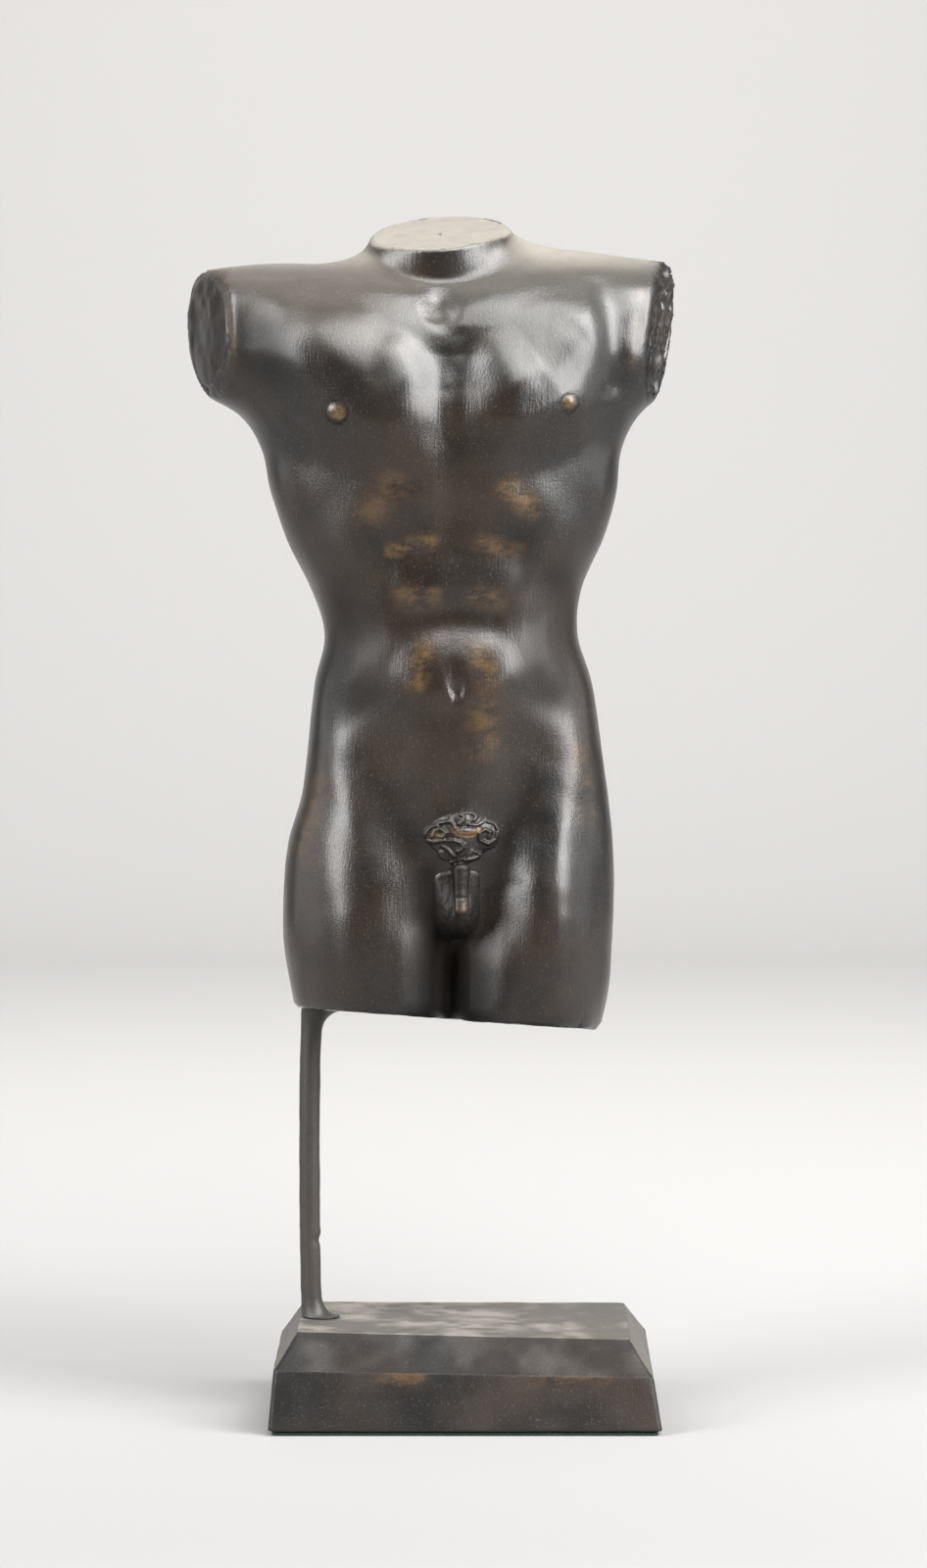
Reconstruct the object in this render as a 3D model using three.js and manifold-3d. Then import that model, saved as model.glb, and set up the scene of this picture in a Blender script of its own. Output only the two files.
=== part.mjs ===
// A cast bronze male torso on a rod and a bevelled plinth, in millimetres.
// The origin is the middle of the underside, +Z is up and the figure faces -Y.
import * as THREE from 'three';
import { mergeVertices } from 'three/addons/utils/BufferGeometryUtils.js';
import Module from 'manifold-3d';

const wasm = await Module();
wasm.setup();

// Driving dimensions of the figure
const torsoHeight = 400;        // thigh cut to the neck cut, measured up the front
const figureTurn = 4.5;         // degrees, the figure's front turns towards +X
const stumpTurn = 17;           // degrees that each shoulder cut looks forward
const leftStumpLean = 5;        // degrees that the left shoulder's cut looks down
const neckLean = 16;            // degrees that the neck cut slopes down to the front
const neckRoll = 5;             // degrees that the neck cut rises to +X
const thighSlope = 4.7;         // degrees that the thigh cut falls to +X
const thighLean = 5.7;          // degrees that the thigh cut falls to the back

// Driving dimensions of the rod
const rodRadius = 5.45;
const rodLength = 157.1;        // plinth to figure
const rodInset = 8.4;           // rod axis in from the thigh's outer edge
const headFlare = 5.8;          // how far the head spreads towards the figure's middle
const headHeight = 13;
const footFlare = 4.6;          // how far the foot spreads on the plinth
const footHeight = 11;
const notchHeight = 40.5;       // a casting flaw in the rod's inner side, above the plinth
const notchDepth = 1.2;
const rodBow = 0.9;             // the rod bends outwards this much half way up

// Driving dimensions of the plinth and its felt
const plinthHeight = 47.9;
const edgeHeight = 31.4;        // the edge where the bevel starts
const rodMargin = 1.1;          // rod surface to the end of the plinth's top
const bevelLength = 11.2;       // bevel's run at the two ends
const bevelDepth = 13.7;        // bevel's run at the front and back
const topDepth = 102.7;
const draft = 3.4;              // the sides spread this much down to the felt
const baseShift = 0.8;          // the foot of the plinth lies this much towards +X
const cornerRadius = 3;
const edgeRounding = 0.9;
const feltThickness = 1.8;
const feltInset = 2.2;
const gap = 0.3;                // clearance between pieces that touch

// The plinth's hand-made unevenness, added to its heights at the corners
const topUneven = { frontLeft: 2.0, frontRight: -1.9, backLeft: 0.2, backRight: -0.3 };
const edgeUneven = { frontLeft: 1.6, frontRight: -1.8, backLeft: -0.4, backRight: 0.4 };

const unit = torsoHeight / 100;
const figureBase = plinthHeight + rodLength;
const degree = Math.PI / 180;

// The skin's sections. All numbers are hundredths of the torso's height: z is up from the
// thigh cut, x runs across and y runs from the front (minus) to the back.
const level = (z, left, right, front, back, square) => (
  { left: [left, z], right: [right, z], front: [front, z], back: [back, z], square });

const thighs = [
  level(-8, -20.5, 15.5, -11.2, 10, 2.4),
  level(1, -21.5, 18.1, -11.7, 10.4, 2.4),
  level(9, -22.8, 18.9, -12, 11.2, 2.4),
  level(16, -22.8, 19.1, -11.8, 12.6, 2.4),
];
const pelvis = [
  level(22, -22.2, 18.9, -11.4, 13.9, 2.4),
  level(28, -20.5, 18.3, -11.2, 13.4, 2.4),
  level(35, -19.6, 17.3, -11.7, 11.2, 2.4),
];
const waist = [
  level(42, -18.9, 16.2, -12, 9, 2.4),
  level(48, -17.6, 14.4, -11.8, 8, 2.4),
  level(54, -19.3, 14.9, -11.7, 8.4, 2.4),
];
const ribcage = [
  level(60, -22.3, 17.6, -12, 9.8, 2.4),
  level(66, -24.3, 19.3, -12.9, 11.4, 2.35),
  level(71.3, -25.4, 19.9, -13.7, 12.5, 2.3),
];
const shoulders = [
  { left: [-28, 75.6], right: [22.2, 75.8], front: [-14.1, 75.5], back: [13.2, 75.6], square: 2.1 },
  { left: [-33, 78.6], right: [26.2, 79], front: [-14, 80], back: [13.6, 80], square: 1.9 },
  { left: [-41.5, 84], right: [33, 84], front: [-13.4, 84], back: [13.6, 84], square: 1.72 },
  { left: [-43, 89], right: [34.5, 89.5], front: [-12, 87.5], back: [13.2, 88], square: 1.72 },
  { left: [-37.5, 93], right: [31, 93.8], front: [-10.2, 90.2], back: [12.6, 92], square: 1.8 },
  { left: [-26, 94.6], right: [18.5, 96], front: [-8.9, 91.6], back: [11.7, 94.2], square: 1.95 },
];
const neck = [
  { left: [-18, 94.8], right: [11.5, 96.8], front: [-8.2, 92.3], back: [10.6, 95.8], square: 2 },
  { left: [-14, 95.6], right: [7.4, 98], front: [-8, 93.2], back: [9.3, 97.3], square: 2 },
  { left: [-12.1, 97.1], right: [5.7, 99.3], front: [-8.2, 95], back: [8.1, 99], square: 2 },
  { left: [-11.4, 99.4], right: [5.2, 101.5], front: [-8.4, 97.4], back: [7.4, 101.2], square: 2 },
  { left: [-11.2, 103], right: [5, 105], front: [-8.5, 101.5], back: [7.1, 105], square: 2 },
];
const stations = [...thighs, ...pelvis, ...waist, ...ribcage, ...shoulders, ...neck];

// The carving, as strokes along the skin. A stroke's rise is greatest along its path and fades
// out at its reach; flat is the share of the reach that keeps the full rise. A path's points
// are x and z, with a third number where the rise is more or less than the stroke's own.
const frontCarving = [
  {
    name: 'right breast', reach: 10, rise: 1.8, flat: 0.1,
    path: [[-10.5, 76.8], [-15, 77.4], [-20, 81.5]],
  },
  { name: 'left breast', reach: 9.6, rise: 2, flat: 0.1, path: [[5.5, 77], [10, 77.8], [14.5, 82]] },
  { name: 'right breast lobe', reach: 4, rise: 0.4, flat: 0, path: [[-9.4, 83], [-7.8, 81]] },
  { name: 'left breast lobe', reach: 4, rise: 0.4, flat: 0, path: [[3, 82.6], [5.2, 80.4]] },
  { name: 'upper right breast', reach: 7, rise: 0.45, flat: 0, path: [[-12, 89.5], [-16.5, 84]] },
  { name: 'upper left breast', reach: 7, rise: 0.6, flat: 0, path: [[4, 88], [10, 89.5], [13, 87]] },
  {
    name: 'breastbone', reach: 8, rise: -1.15, flat: 0.1,
    path: [[-2.2, 87, 0.3], [-2.4, 83.5, 0.9], [-2.6, 79], [-2.4, 73, 0.6], [-2.2, 66, 0.1]],
  },
  { name: 'right arm hollow', reach: 6.6, rise: -0.5, flat: 0, path: [[-27.8, 85], [-29.4, 82.4]] },
  {
    name: 'left shoulder furrow', reach: 3.2, rise: -0.6, flat: 0,
    path: [[17, 92, 0.4], [17.4, 86], [18.4, 80]],
  },
  { name: 'right shoulder', reach: 5, rise: 0.5, flat: 0, path: [[-24, 90.4], [-30, 90.4]] },
  { name: 'left shoulder', reach: 4.6, rise: 0.35, flat: 0, path: [[21.5, 90], [24, 88]] },
  {
    name: 'right collar bone', reach: 3.4, rise: 0.25, flat: 0,
    path: [[-7, 90.4], [-13, 91.6], [-20, 92.4]],
  },
  { name: 'left collar bone', reach: 3.4, rise: 0.3, flat: 0, path: [[-1.6, 88.6], [6, 92], [14, 93.4]] },
  { name: 'pit of the neck', reach: 3, rise: -0.5, flat: 0, path: [[-3.8, 90], [-3.6, 88.6]] },
  { name: 'right side wall', reach: 5.5, rise: -0.2, flat: 0, path: [[-22.5, 76], [-19.5, 71]] },
  { name: 'left side wall', reach: 4.2, rise: -0.4, flat: 0, path: [[17, 82], [16.6, 72]] },
  { name: 'right rib edge', reach: 5.4, rise: 0.4, flat: 0, path: [[-7, 69], [-12.5, 64.5], [-15.5, 60]] },
  { name: 'left rib edge', reach: 5.4, rise: 0.4, flat: 0, path: [[2, 69], [8, 64.5], [11.4, 60]] },
  { name: 'pit of the stomach', reach: 4.6, rise: -0.4, flat: 0, path: [[-2.4, 66], [-2.4, 63]] },
  {
    name: 'upper belly', reach: 4.8, rise: 0.55, flat: 0.2,
    path: [[-6.6, 62.8], [-2.2, 63.8], [2.6, 62.8]],
  },
  {
    name: 'middle belly', reach: 3.8, rise: 0.5, flat: 0.2,
    path: [[-8, 55.6], [-2, 56.4], [4, 55.6], [8, 54.4]],
  },
  {
    name: 'lower crease', reach: 3.6, rise: -0.5, flat: 0,
    path: [[-12, 49.4, 0.4], [-7, 50.2], [-2, 51], [3, 50.2], [8, 49.4, 0.4]],
  },
  { name: 'belly shield top', reach: 5.6, rise: 0.6, flat: 0.25, path: [[-5.2, 43.8], [1.6, 43.8]] },
  { name: 'belly shield', reach: 7.4, rise: 0.35, flat: 0.3, path: [[-2, 40], [-2, 34.5]] },
  { name: 'middle line', reach: 3.2, rise: -0.1, flat: 0, path: [[-2.2, 66], [-2, 46]] },
  { name: 'navel', reach: 1.8, rise: -0.6, flat: 0, path: [[-2, 44.2, 0.3], [-1.8, 41.6]] },
  { name: 'right hip hollow', reach: 8, rise: -0.8, flat: 0, path: [[-13.6, 38], [-11.5, 34]] },
  { name: 'left hip hollow', reach: 8, rise: -0.7, flat: 0, path: [[10, 38.5], [8.2, 34.5]] },
  { name: 'pubic mound', reach: 5, rise: 0.3, flat: 0, path: [[-1.3, 24], [-1.3, 20]] },
  {
    name: 'right groin', reach: 6, rise: -1, flat: 0,
    path: [[-12, 32, 0.3], [-8.8, 25], [-6.6, 19], [-5.6, 13, 0.9], [-4, 7, 0.5]],
  },
  {
    name: 'left groin', reach: 6, rise: -1.5, flat: 0,
    path: [[8.6, 32, 0.3], [5.2, 25], [3, 19], [2, 13, 0.9], [0, 7, 0.5]],
  },
  {
    name: 'right outer thigh', reach: 7, rise: 0.8, flat: 0,
    path: [[-13.6, 30.5], [-14.4, 20], [-14.6, 4]],
  },
  { name: 'left outer thigh', reach: 6.5, rise: 0.8, flat: 0, path: [[11, 31.5], [11.2, 20], [10.8, 4]] },
  {
    name: 'between the thighs', reach: 8, rise: -3.2, flat: 0,
    path: [[-1.8, 15, 0.3], [-2.1, 10, 0.8], [-2.5, 3], [-2.6, -6]],
  },
  {
    name: 'thigh groove', reach: 2.8, rise: -2.4, flat: 0,
    path: [[-2.1, 11, 0.4], [-2.4, 6], [-2.6, -6, 1.1]],
  },
];
const backCarving = [
  {
    name: 'spine', reach: 3.8, rise: -1.3, flat: 0,
    path: [[-3.1, 92, 0.4], [-3, 84, 0.8], [-2.8, 72], [-2.2, 58, 1.2], [-2, 46, 1.1], [-2, 35, 0.5]],
  },
  { name: 'right nape', reach: 5, rise: 0.6, flat: 0, path: [[-6.5, 95], [-10, 90], [-5.5, 74, 0.5]] },
  { name: 'left nape', reach: 5, rise: 0.6, flat: 0, path: [[0.6, 96], [4, 90], [0, 74, 0.5]] },
  { name: 'right shoulder blade', reach: 5.6, rise: 1.1, flat: 0.15, path: [[-14, 85], [-14.6, 76.5]] },
  { name: 'left shoulder blade', reach: 5.6, rise: 1.1, flat: 0.15, path: [[8.4, 85], [9, 76.5]] },
  {
    name: 'right blade edge', reach: 3.8, rise: -0.5, flat: 0,
    path: [[-9.2, 84], [-10.5, 74], [-16, 70.5]],
  },
  { name: 'left blade edge', reach: 3.8, rise: -0.5, flat: 0, path: [[3.6, 84], [4.9, 74], [10.4, 70.5]] },
  { name: 'right back of shoulder', reach: 5.5, rise: 0.6, flat: 0, path: [[-21, 84], [-32, 88]] },
  { name: 'left back of shoulder', reach: 5.5, rise: 0.6, flat: 0, path: [[15.5, 84], [26, 88]] },
  { name: 'right broad back', reach: 6.2, rise: 0.7, flat: 0, path: [[-19.5, 72], [-14, 58]] },
  { name: 'left broad back', reach: 6.2, rise: 0.7, flat: 0, path: [[14, 72], [9.4, 58]] },
  { name: 'right back cord', reach: 4.4, rise: 0.7, flat: 0, path: [[-6, 64], [-5.4, 50], [-5.2, 39]] },
  { name: 'left back cord', reach: 4.4, rise: 0.7, flat: 0, path: [[1.2, 64], [1.2, 50], [1.2, 39]] },
  { name: 'right hip furrow', reach: 4, rise: -0.45, flat: 0, path: [[-17, 43], [-10, 37]] },
  { name: 'left hip furrow', reach: 4, rise: -0.45, flat: 0, path: [[13, 43], [6.4, 37]] },
  { name: 'right dimple', reach: 3.2, rise: -0.5, flat: 0, path: [[-6.4, 34.6], [-6, 34.2]] },
  { name: 'left dimple', reach: 3.2, rise: -0.5, flat: 0, path: [[2.4, 34.6], [2, 34.2]] },
  { name: 'right buttock', reach: 9, rise: 2.4, flat: 0.2, path: [[-11.4, 25], [-10.6, 19]] },
  { name: 'left buttock', reach: 9, rise: 2.4, flat: 0.2, path: [[7.6, 25], [6.8, 19]] },
  { name: 'cleft', reach: 3.4, rise: -3, flat: 0, path: [[-2, 32, 0.3], [-2, 26, 0.9], [-2, 13, 1.1]] },
  {
    name: 'right fold', reach: 3.6, rise: -1, flat: 0,
    path: [[-4.6, 11.2], [-10, 10.6], [-16.5, 13, 0.4]],
  },
  { name: 'left fold', reach: 3.6, rise: -1, flat: 0, path: [[0.8, 11.2], [6, 10.6], [12.4, 13, 0.4]] },
  { name: 'right side hollow', reach: 4.4, rise: -0.7, flat: 0, path: [[-20, 25], [-20.4, 19]] },
  { name: 'left side hollow', reach: 4.4, rise: -0.7, flat: 0, path: [[16.4, 25], [16.8, 19]] },
  { name: 'right hamstring', reach: 5, rise: 0.7, flat: 0, path: [[-9.6, 6], [-9.4, -6]] },
  { name: 'left hamstring', reach: 5, rise: 0.7, flat: 0, path: [[5.6, 6], [5.4, -6]] },
  {
    name: 'between the thighs behind', reach: 4.8, rise: -4.4, flat: 0,
    path: [[-2.1, 13, 0.5], [-2.3, 6, 0.9], [-2.6, -6, 1.1]],
  },
];

// The parts of the figure that stand free of the skin: place, radii and lean of each
const hairLobes = [
  { x: -4.3, z: 23.75, wide: 1.75, tall: 1.2, rise: 0.75 },
  { x: -1.2, z: 25.2, wide: 1.7, tall: 1.35, rise: 0.6 },
  { x: 2.0, z: 23.4, wide: 1.85, tall: 1.95, rise: 0.75 },
  { x: -1.9, z: 22.2, wide: 1.35, tall: 1.15, rise: 0.6 },
  { x: 0.1, z: 21, wide: 1.4, tall: 0.95, rise: 0.5 },
  { x: -3.1, z: 21.4, wide: 1.1, tall: 1.1, rise: 0.4 },
  { x: -1.3, z: 20.3, wide: 1.1, tall: 0.8, rise: 0.4 },
  { x: -0.5, z: 24, wide: 1.85, tall: 0.72, rise: 0.95 },
];
const hairDepth = 0.8;
const scrotum = { x: -1.9, y: -11.1, z: 14.9, radii: [2.9, 2.7, 3.9] };
const penis = { x: -1.3, y: -13.2, z: 16.7, radius: 1.05, length: 3.9, lean: -6 };

// How finely the torso is cut into facets
const ringCount = 47;
const facetsAround = 80;
const frontDensity = 0.28;      // how much closer the facets stand at the front

// A smooth curve through evenly numbered values
function through(values, t) {
  const i = Math.min(Math.floor(t), values.length - 2);
  const w = t - i;
  const at = (k) => {
    if (k < 0) return 2 * values[0] - values[1];
    if (k >= values.length) return 2 * values[values.length - 1] - values[values.length - 2];
    return values[k];
  };
  const [a, b, c, d] = [at(i - 1), at(i), at(i + 1), at(i + 2)];
  const w2 = w * w;
  const w3 = w2 * w;
  return 0.5 * (2 * b + (c - a) * w + (2 * a - 5 * b + 4 * c - d) * w2 + (3 * b - a - 3 * c + d) * w3);
}

const rail = (name, k) => stations.map((station) => station[name][k]);
const rails = {
  leftX: rail('left', 0), leftZ: rail('left', 1), rightX: rail('right', 0), rightZ: rail('right', 1),
  frontY: rail('front', 0), frontZ: rail('front', 1), backY: rail('back', 0), backZ: rail('back', 1),
  square: stations.map((station) => station.square),
};

// A point of the plain skin: a squared oval through the four rails, its two ends lifted
// from the front and back height to the side height
function plainSkin(t, angle) {
  const at = {};
  for (const name of Object.keys(rails)) at[name] = through(rails[name], t);
  const across = Math.cos(angle);
  const along = Math.sin(angle);
  const swell = (Math.abs(across) ** at.square + Math.abs(along) ** at.square) ** (-1 / at.square);
  const middle = (at.leftX + at.rightX) / 2;
  const half = (at.rightX - at.leftX) / 2;
  const sideZ = across > 0 ? at.rightZ : at.leftZ;
  const depth = along > 0 ? at.backY : -at.frontY;
  const lift = (across * swell) ** 2;
  const innerZ = ((1 + along * swell) * at.backZ + (1 - along * swell) * at.frontZ) / 2;
  return new THREE.Vector3(
    middle + half * across * swell,
    depth * along * swell,
    innerZ + (sideZ - innerZ) * lift,
  );
}

// The y of the plain skin at an x and z, looked up among samples of it
const samples = [];
for (let t = 0; t <= stations.length - 1; t += 0.125) {
  for (let k = 0; k < 120; k += 1) samples.push(plainSkin(t, (2 * Math.PI * (k + 0.5)) / 120));
}
function onSkin(x, z, side) {
  let best = Infinity;
  let y = 0;
  for (const sample of samples) {
    if (sample.y * side < 0) continue;
    const far = (sample.x - x) ** 2 + (sample.z - z) ** 2;
    if (far < best) {
      best = far;
      y = sample.y;
    }
  }
  return new THREE.Vector3(x, y, z);
}

function placeStrokes(strokes, side) {
  return strokes.map((stroke) => ({
    ...stroke,
    points: stroke.path.map(([x, z]) => onSkin(x, z, side)),
    weights: stroke.path.map((point) => point[2] ?? 1),
  }));
}
const strokes = [...placeStrokes(frontCarving, -1), ...placeStrokes(backCarving, 1)];

// The rise that one stroke gives to a point of the skin
function strokeRise(stroke, point) {
  let nearest = Infinity;
  let weight = 0;
  for (let i = 0; i + 1 < stroke.points.length; i += 1) {
    const from = stroke.points[i];
    const span = stroke.points[i + 1].clone().sub(from);
    const w = THREE.MathUtils.clamp(point.clone().sub(from).dot(span) / span.lengthSq(), 0, 1);
    const far = point.distanceTo(from.clone().addScaledVector(span, w));
    if (far < nearest) {
      nearest = far;
      weight = THREE.MathUtils.lerp(stroke.weights[i], stroke.weights[i + 1], w);
    }
  }
  const fade = THREE.MathUtils.smoothstep(nearest / stroke.reach, stroke.flat, 1);
  return stroke.rise * weight * (1 - fade);
}

function carvedSkin(t, angle) {
  const step = 0.02;
  const last = stations.length - 1;
  const point = plainSkin(t, angle);
  const up = plainSkin(Math.min(t + step, last), angle).sub(plainSkin(Math.max(t - step, 0), angle));
  const round = plainSkin(t, angle + step).sub(plainSkin(t, angle - step));
  const outward = round.cross(up).normalize();
  let rise = 0;
  for (const stroke of strokes) rise += strokeRise(stroke, point);
  return point.addScaledVector(outward, rise);
}

// A closed skin over rings of points, with a point in the middle of each end
function closedLoft(rings) {
  const around = rings[0].length;
  const positions = rings.flat().flatMap((p) => [p.x, p.y, p.z]);
  const centre = (ring) => {
    const sum = ring.reduce((total, p) => total.add(p), new THREE.Vector3());
    return sum.divideScalar(around);
  };
  const first = centre(rings[0]);
  const last = centre(rings[rings.length - 1]);
  positions.push(first.x, first.y, first.z, last.x, last.y, last.z);
  const faces = [];
  for (let j = 0; j < around; j += 1) {
    const k = (j + 1) % around;
    for (let i = 0; i + 1 < rings.length; i += 1) {
      const low = i * around;
      const high = low + around;
      faces.push(low + j, low + k, high + k, low + j, high + k, high + j);
    }
    const top = (rings.length - 1) * around;
    faces.push(rings.length * around, k, j, rings.length * around + 1, top + j, top + k);
  }
  const geometry = new THREE.BufferGeometry();
  geometry.setAttribute('position', new THREE.Float32BufferAttribute(positions, 3));
  geometry.setIndex(faces);
  return geometry;
}

function toSolid(geometry) {
  const plain = geometry.clone();
  plain.deleteAttribute('normal');
  plain.deleteAttribute('uv');
  const merged = mergeVertices(plain);
  return new wasm.Manifold(new wasm.Mesh({
    numProp: 3,
    vertProperties: new Float32Array(merged.attributes.position.array),
    triVerts: new Uint32Array(merged.index.array),
  }));
}

function toGeometry(solid) {
  const mesh = solid.getMesh();
  const geometry = new THREE.BufferGeometry();
  geometry.setAttribute('position', new THREE.Float32BufferAttribute(mesh.vertProperties, 3));
  geometry.setIndex(Array.from(mesh.triVerts));
  geometry.computeVertexNormals();
  return geometry;
}

// A block that is to be taken away: its near face is the cut
function cuttingBlock({ point, outward, size }) {
  const block = new THREE.BoxGeometry(size, size, size);
  block.translate(0, 0, size / 2);
  const turn = new THREE.Quaternion().setFromUnitVectors(new THREE.Vector3(0, 0, 1), outward);
  block.applyQuaternion(turn);
  block.translate(point.x, point.y, point.z);
  return toSolid(block);
}

// The cuts, in hundredths of the torso's height
const thighCut = {
  size: 60,
  point: new THREE.Vector3(0, 0, -0.9),
  outward: new THREE.Vector3(-Math.tan(thighSlope * degree), -Math.tan(thighLean * degree), -1).normalize(),
};
const neckCut = {
  size: 30,
  point: new THREE.Vector3(-3.1, 0, 98.75),
  outward: new THREE.Vector3(-Math.tan(neckRoll * degree), -Math.tan(neckLean * degree), 1).normalize(),
};
const rightStump = {
  size: 40,
  point: new THREE.Vector3(-32.6, 0, 87),
  outward: new THREE.Vector3(-Math.cos(stumpTurn * degree), -Math.sin(stumpTurn * degree), 0),
};
const leftStump = {
  size: 40,
  point: new THREE.Vector3(25.2, 0, 87),
  outward: new THREE.Vector3(
    Math.cos(stumpTurn * degree),
    -Math.sin(stumpTurn * degree),
    -Math.tan(leftStumpLean * degree),
  ).normalize(),
};

function roundLump(place) {
  const lump = new THREE.SphereGeometry(1, 16, 10);
  lump.scale(...place.radii);
  lump.translate(place.x, place.y, place.z);
  return toSolid(lump);
}

function penisSolid() {
  const form = new THREE.CapsuleGeometry(penis.radius, penis.length, 4, 12);
  form.rotateX((90 + penis.lean) * degree);
  form.translate(penis.x, penis.y, penis.z);
  return toSolid(form);
}

// The pubic hair: overlapping lobes seated on the skin
function hair() {
  return hairLobes.map(({ x, z, wide, tall, rise }) => {
    const depth = hairDepth + rise;
    const lobe = new THREE.SphereGeometry(1, 12, 8);
    lobe.scale(wide, depth, tall);
    lobe.translate(x, onSkin(x, z, -1).y + hairDepth, z);
    return toSolid(lobe);
  });
}

function torsoGeometry() {
  const rings = [];
  for (let i = 0; i <= ringCount; i += 1) {
    const t = ((stations.length - 1) * i) / ringCount;
    const ring = [];
    for (let j = 0; j < facetsAround; j += 1) {
      const turn = (2 * Math.PI * j) / facetsAround;
      const angle = turn - frontDensity * Math.sin(turn) - Math.PI / 2;
      ring.push(carvedSkin(t, angle));
    }
    rings.push(ring);
  }
  let solid = toSolid(closedLoft(rings));
  for (const lump of [...hair(), roundLump(scrotum), penisSolid()]) {
    solid = solid.add(lump);
  }
  for (const cut of [thighCut, neckCut, rightStump, leftStump]) {
    solid = solid.subtract(cuttingBlock(cut));
  }
  const geometry = toGeometry(solid);
  geometry.scale(unit, unit, unit);
  geometry.rotateZ(figureTurn * degree);
  geometry.translate(0, 0, figureBase);
  return geometry;
}

// The rod stands under the outer edge of the figure's right thigh
const thighEdge = thighs[1].left[0] * unit;
const rodX = thighEdge + rodInset;
const rodY = 0;

// Height of the thigh cut over a place on the plinth
function cutHeight(x, y) {
  const place = new THREE.Vector3(x, y, 0).applyAxisAngle(new THREE.Vector3(0, 0, 1), -figureTurn * degree);
  const { point, outward } = thighCut;
  const fall = (outward.x * (place.x / unit - point.x) + outward.y * (place.y / unit - point.y)) / outward.z;
  return figureBase + (point.z - fall) * unit;
}

// The plinth's outline at a height: half sizes, and the rise of its four corners
const topHalf = { x: Math.abs(rodX) + rodRadius + rodMargin, y: topDepth / 2 };
const edgeHalf = { x: topHalf.x + bevelLength, y: topHalf.y + bevelDepth };
const baseHalf = { x: edgeHalf.x + draft, y: edgeHalf.y + draft };
const feltTop = feltThickness;
const plinthBase = feltTop + gap;

function uneven(corners, half, x, y) {
  const right = (1 + x / half.x) / 2;
  const back = (1 + y / half.y) / 2;
  const front = corners.frontLeft * (1 - right) + corners.frontRight * right;
  const rear = corners.backLeft * (1 - right) + corners.backRight * right;
  return front * (1 - back) + rear * back;
}
const topHeight = (x, y) => plinthHeight + uneven(topUneven, topHalf, x, y);

function roundedRing(half, radius, heightAt) {
  const ring = [];
  const steps = 4;
  for (const [sx, sy, start] of [[1, -1, -90], [1, 1, 0], [-1, 1, 90], [-1, -1, 180]]) {
    for (let k = 0; k <= steps; k += 1) {
      const angle = (start + (90 * k) / steps) * degree;
      const x = sx * (half.x - radius) + radius * Math.cos(angle);
      const y = sy * (half.y - radius) + radius * Math.sin(angle);
      ring.push(new THREE.Vector3(x, y, heightAt(x, y)));
    }
  }
  return ring;
}

const toBase = (p) => p.add(new THREE.Vector3(baseShift, 0, 0));

function plinthGeometry() {
  const edgeAt = (lift) => (x, y) => edgeHeight + lift + uneven(edgeUneven, edgeHalf, x, y);
  const shrink = (half, by) => ({ x: half.x - by, y: half.y - by });
  const rings = [
    ...[[edgeRounding, 0], [0, edgeRounding]].map(([inset, lift]) => (
      roundedRing(shrink(baseHalf, inset), cornerRadius, () => plinthBase + lift).map(toBase))),
    roundedRing(edgeHalf, cornerRadius, edgeAt(-edgeRounding)),
    roundedRing(shrink(edgeHalf, edgeRounding), cornerRadius, edgeAt(edgeRounding / 2)),
    roundedRing(topHalf, cornerRadius, (x, y) => topHeight(x, y) - edgeRounding),
    roundedRing(shrink(topHalf, edgeRounding), cornerRadius, topHeight),
  ];
  for (const share of [0.7, 0.35]) {
    const half = { x: topHalf.x * share, y: topHalf.y * share };
    rings.push(roundedRing(half, cornerRadius * share, topHeight));
  }
  return closedLoft(rings);
}

function feltGeometry() {
  const half = { x: baseHalf.x - feltInset, y: baseHalf.y - feltInset };
  return closedLoft([0, feltTop].map((z) => roundedRing(half, cornerRadius, () => z).map(toBase)));
}

function ovalRing(x, y, radiusX, radiusY, heightAt) {
  const ring = [];
  const sides = 16;
  for (let k = 0; k < sides; k += 1) {
    const angle = (2 * Math.PI * k) / sides;
    const px = x + radiusX * Math.cos(angle);
    const py = y + radiusY * Math.sin(angle);
    ring.push(new THREE.Vector3(px, py, heightAt(px, py)));
  }
  return ring;
}

// The rod's outer side stays straight while its head and foot spread inwards, so each ring's
// centre moves by the same share of the flare as its radius grows
function rodGeometry() {
  const flared = (flare, share, heightAt) => {
    const spread = flare * (1 - Math.sqrt(1 - (1 - share) ** 2));
    return ovalRing(rodX + spread, rodY, rodRadius + spread, rodRadius + spread, heightAt);
  };
  const shares = [0, 0.12, 0.3, 0.55, 1];
  const rings = [];
  for (const share of shares) {
    rings.push(flared(footFlare, share, (x, y) => topHeight(x, y) + gap + footHeight * share));
  }
  const shaft = (height, depth) => {
    const bend = rodBow * Math.sin((Math.PI * height) / rodLength);
    const z = plinthHeight + height;
    rings.push(ovalRing(rodX - bend - depth / 2, rodY, rodRadius - depth / 2, rodRadius, () => z));
  };
  for (const [lift, depth] of [[-4, 0], [-1.5, 1], [1.5, 1], [4, -0.5], [9, 0]]) {
    shaft(notchHeight + lift, depth * notchDepth);
  }
  for (const share of [0.4, 0.55, 0.7, 0.82]) shaft(rodLength * share, 0);
  for (const share of shares.toReversed()) {
    rings.push(flared(headFlare, share, (x, y) => cutHeight(x, y) - gap - headHeight * share));
  }
  return closedLoft(rings);
}

const bronze = new THREE.MeshStandardMaterial({ color: 0x3f3931, roughness: 0.38, metalness: 0.85 });
const felt = new THREE.MeshStandardMaterial({ color: 0x1f3b2c, roughness: 0.95, metalness: 0 });

function piece(name, geometry, material) {
  geometry.computeVertexNormals();
  const mesh = new THREE.Mesh(geometry, material);
  mesh.name = name;
  return mesh;
}

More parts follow.
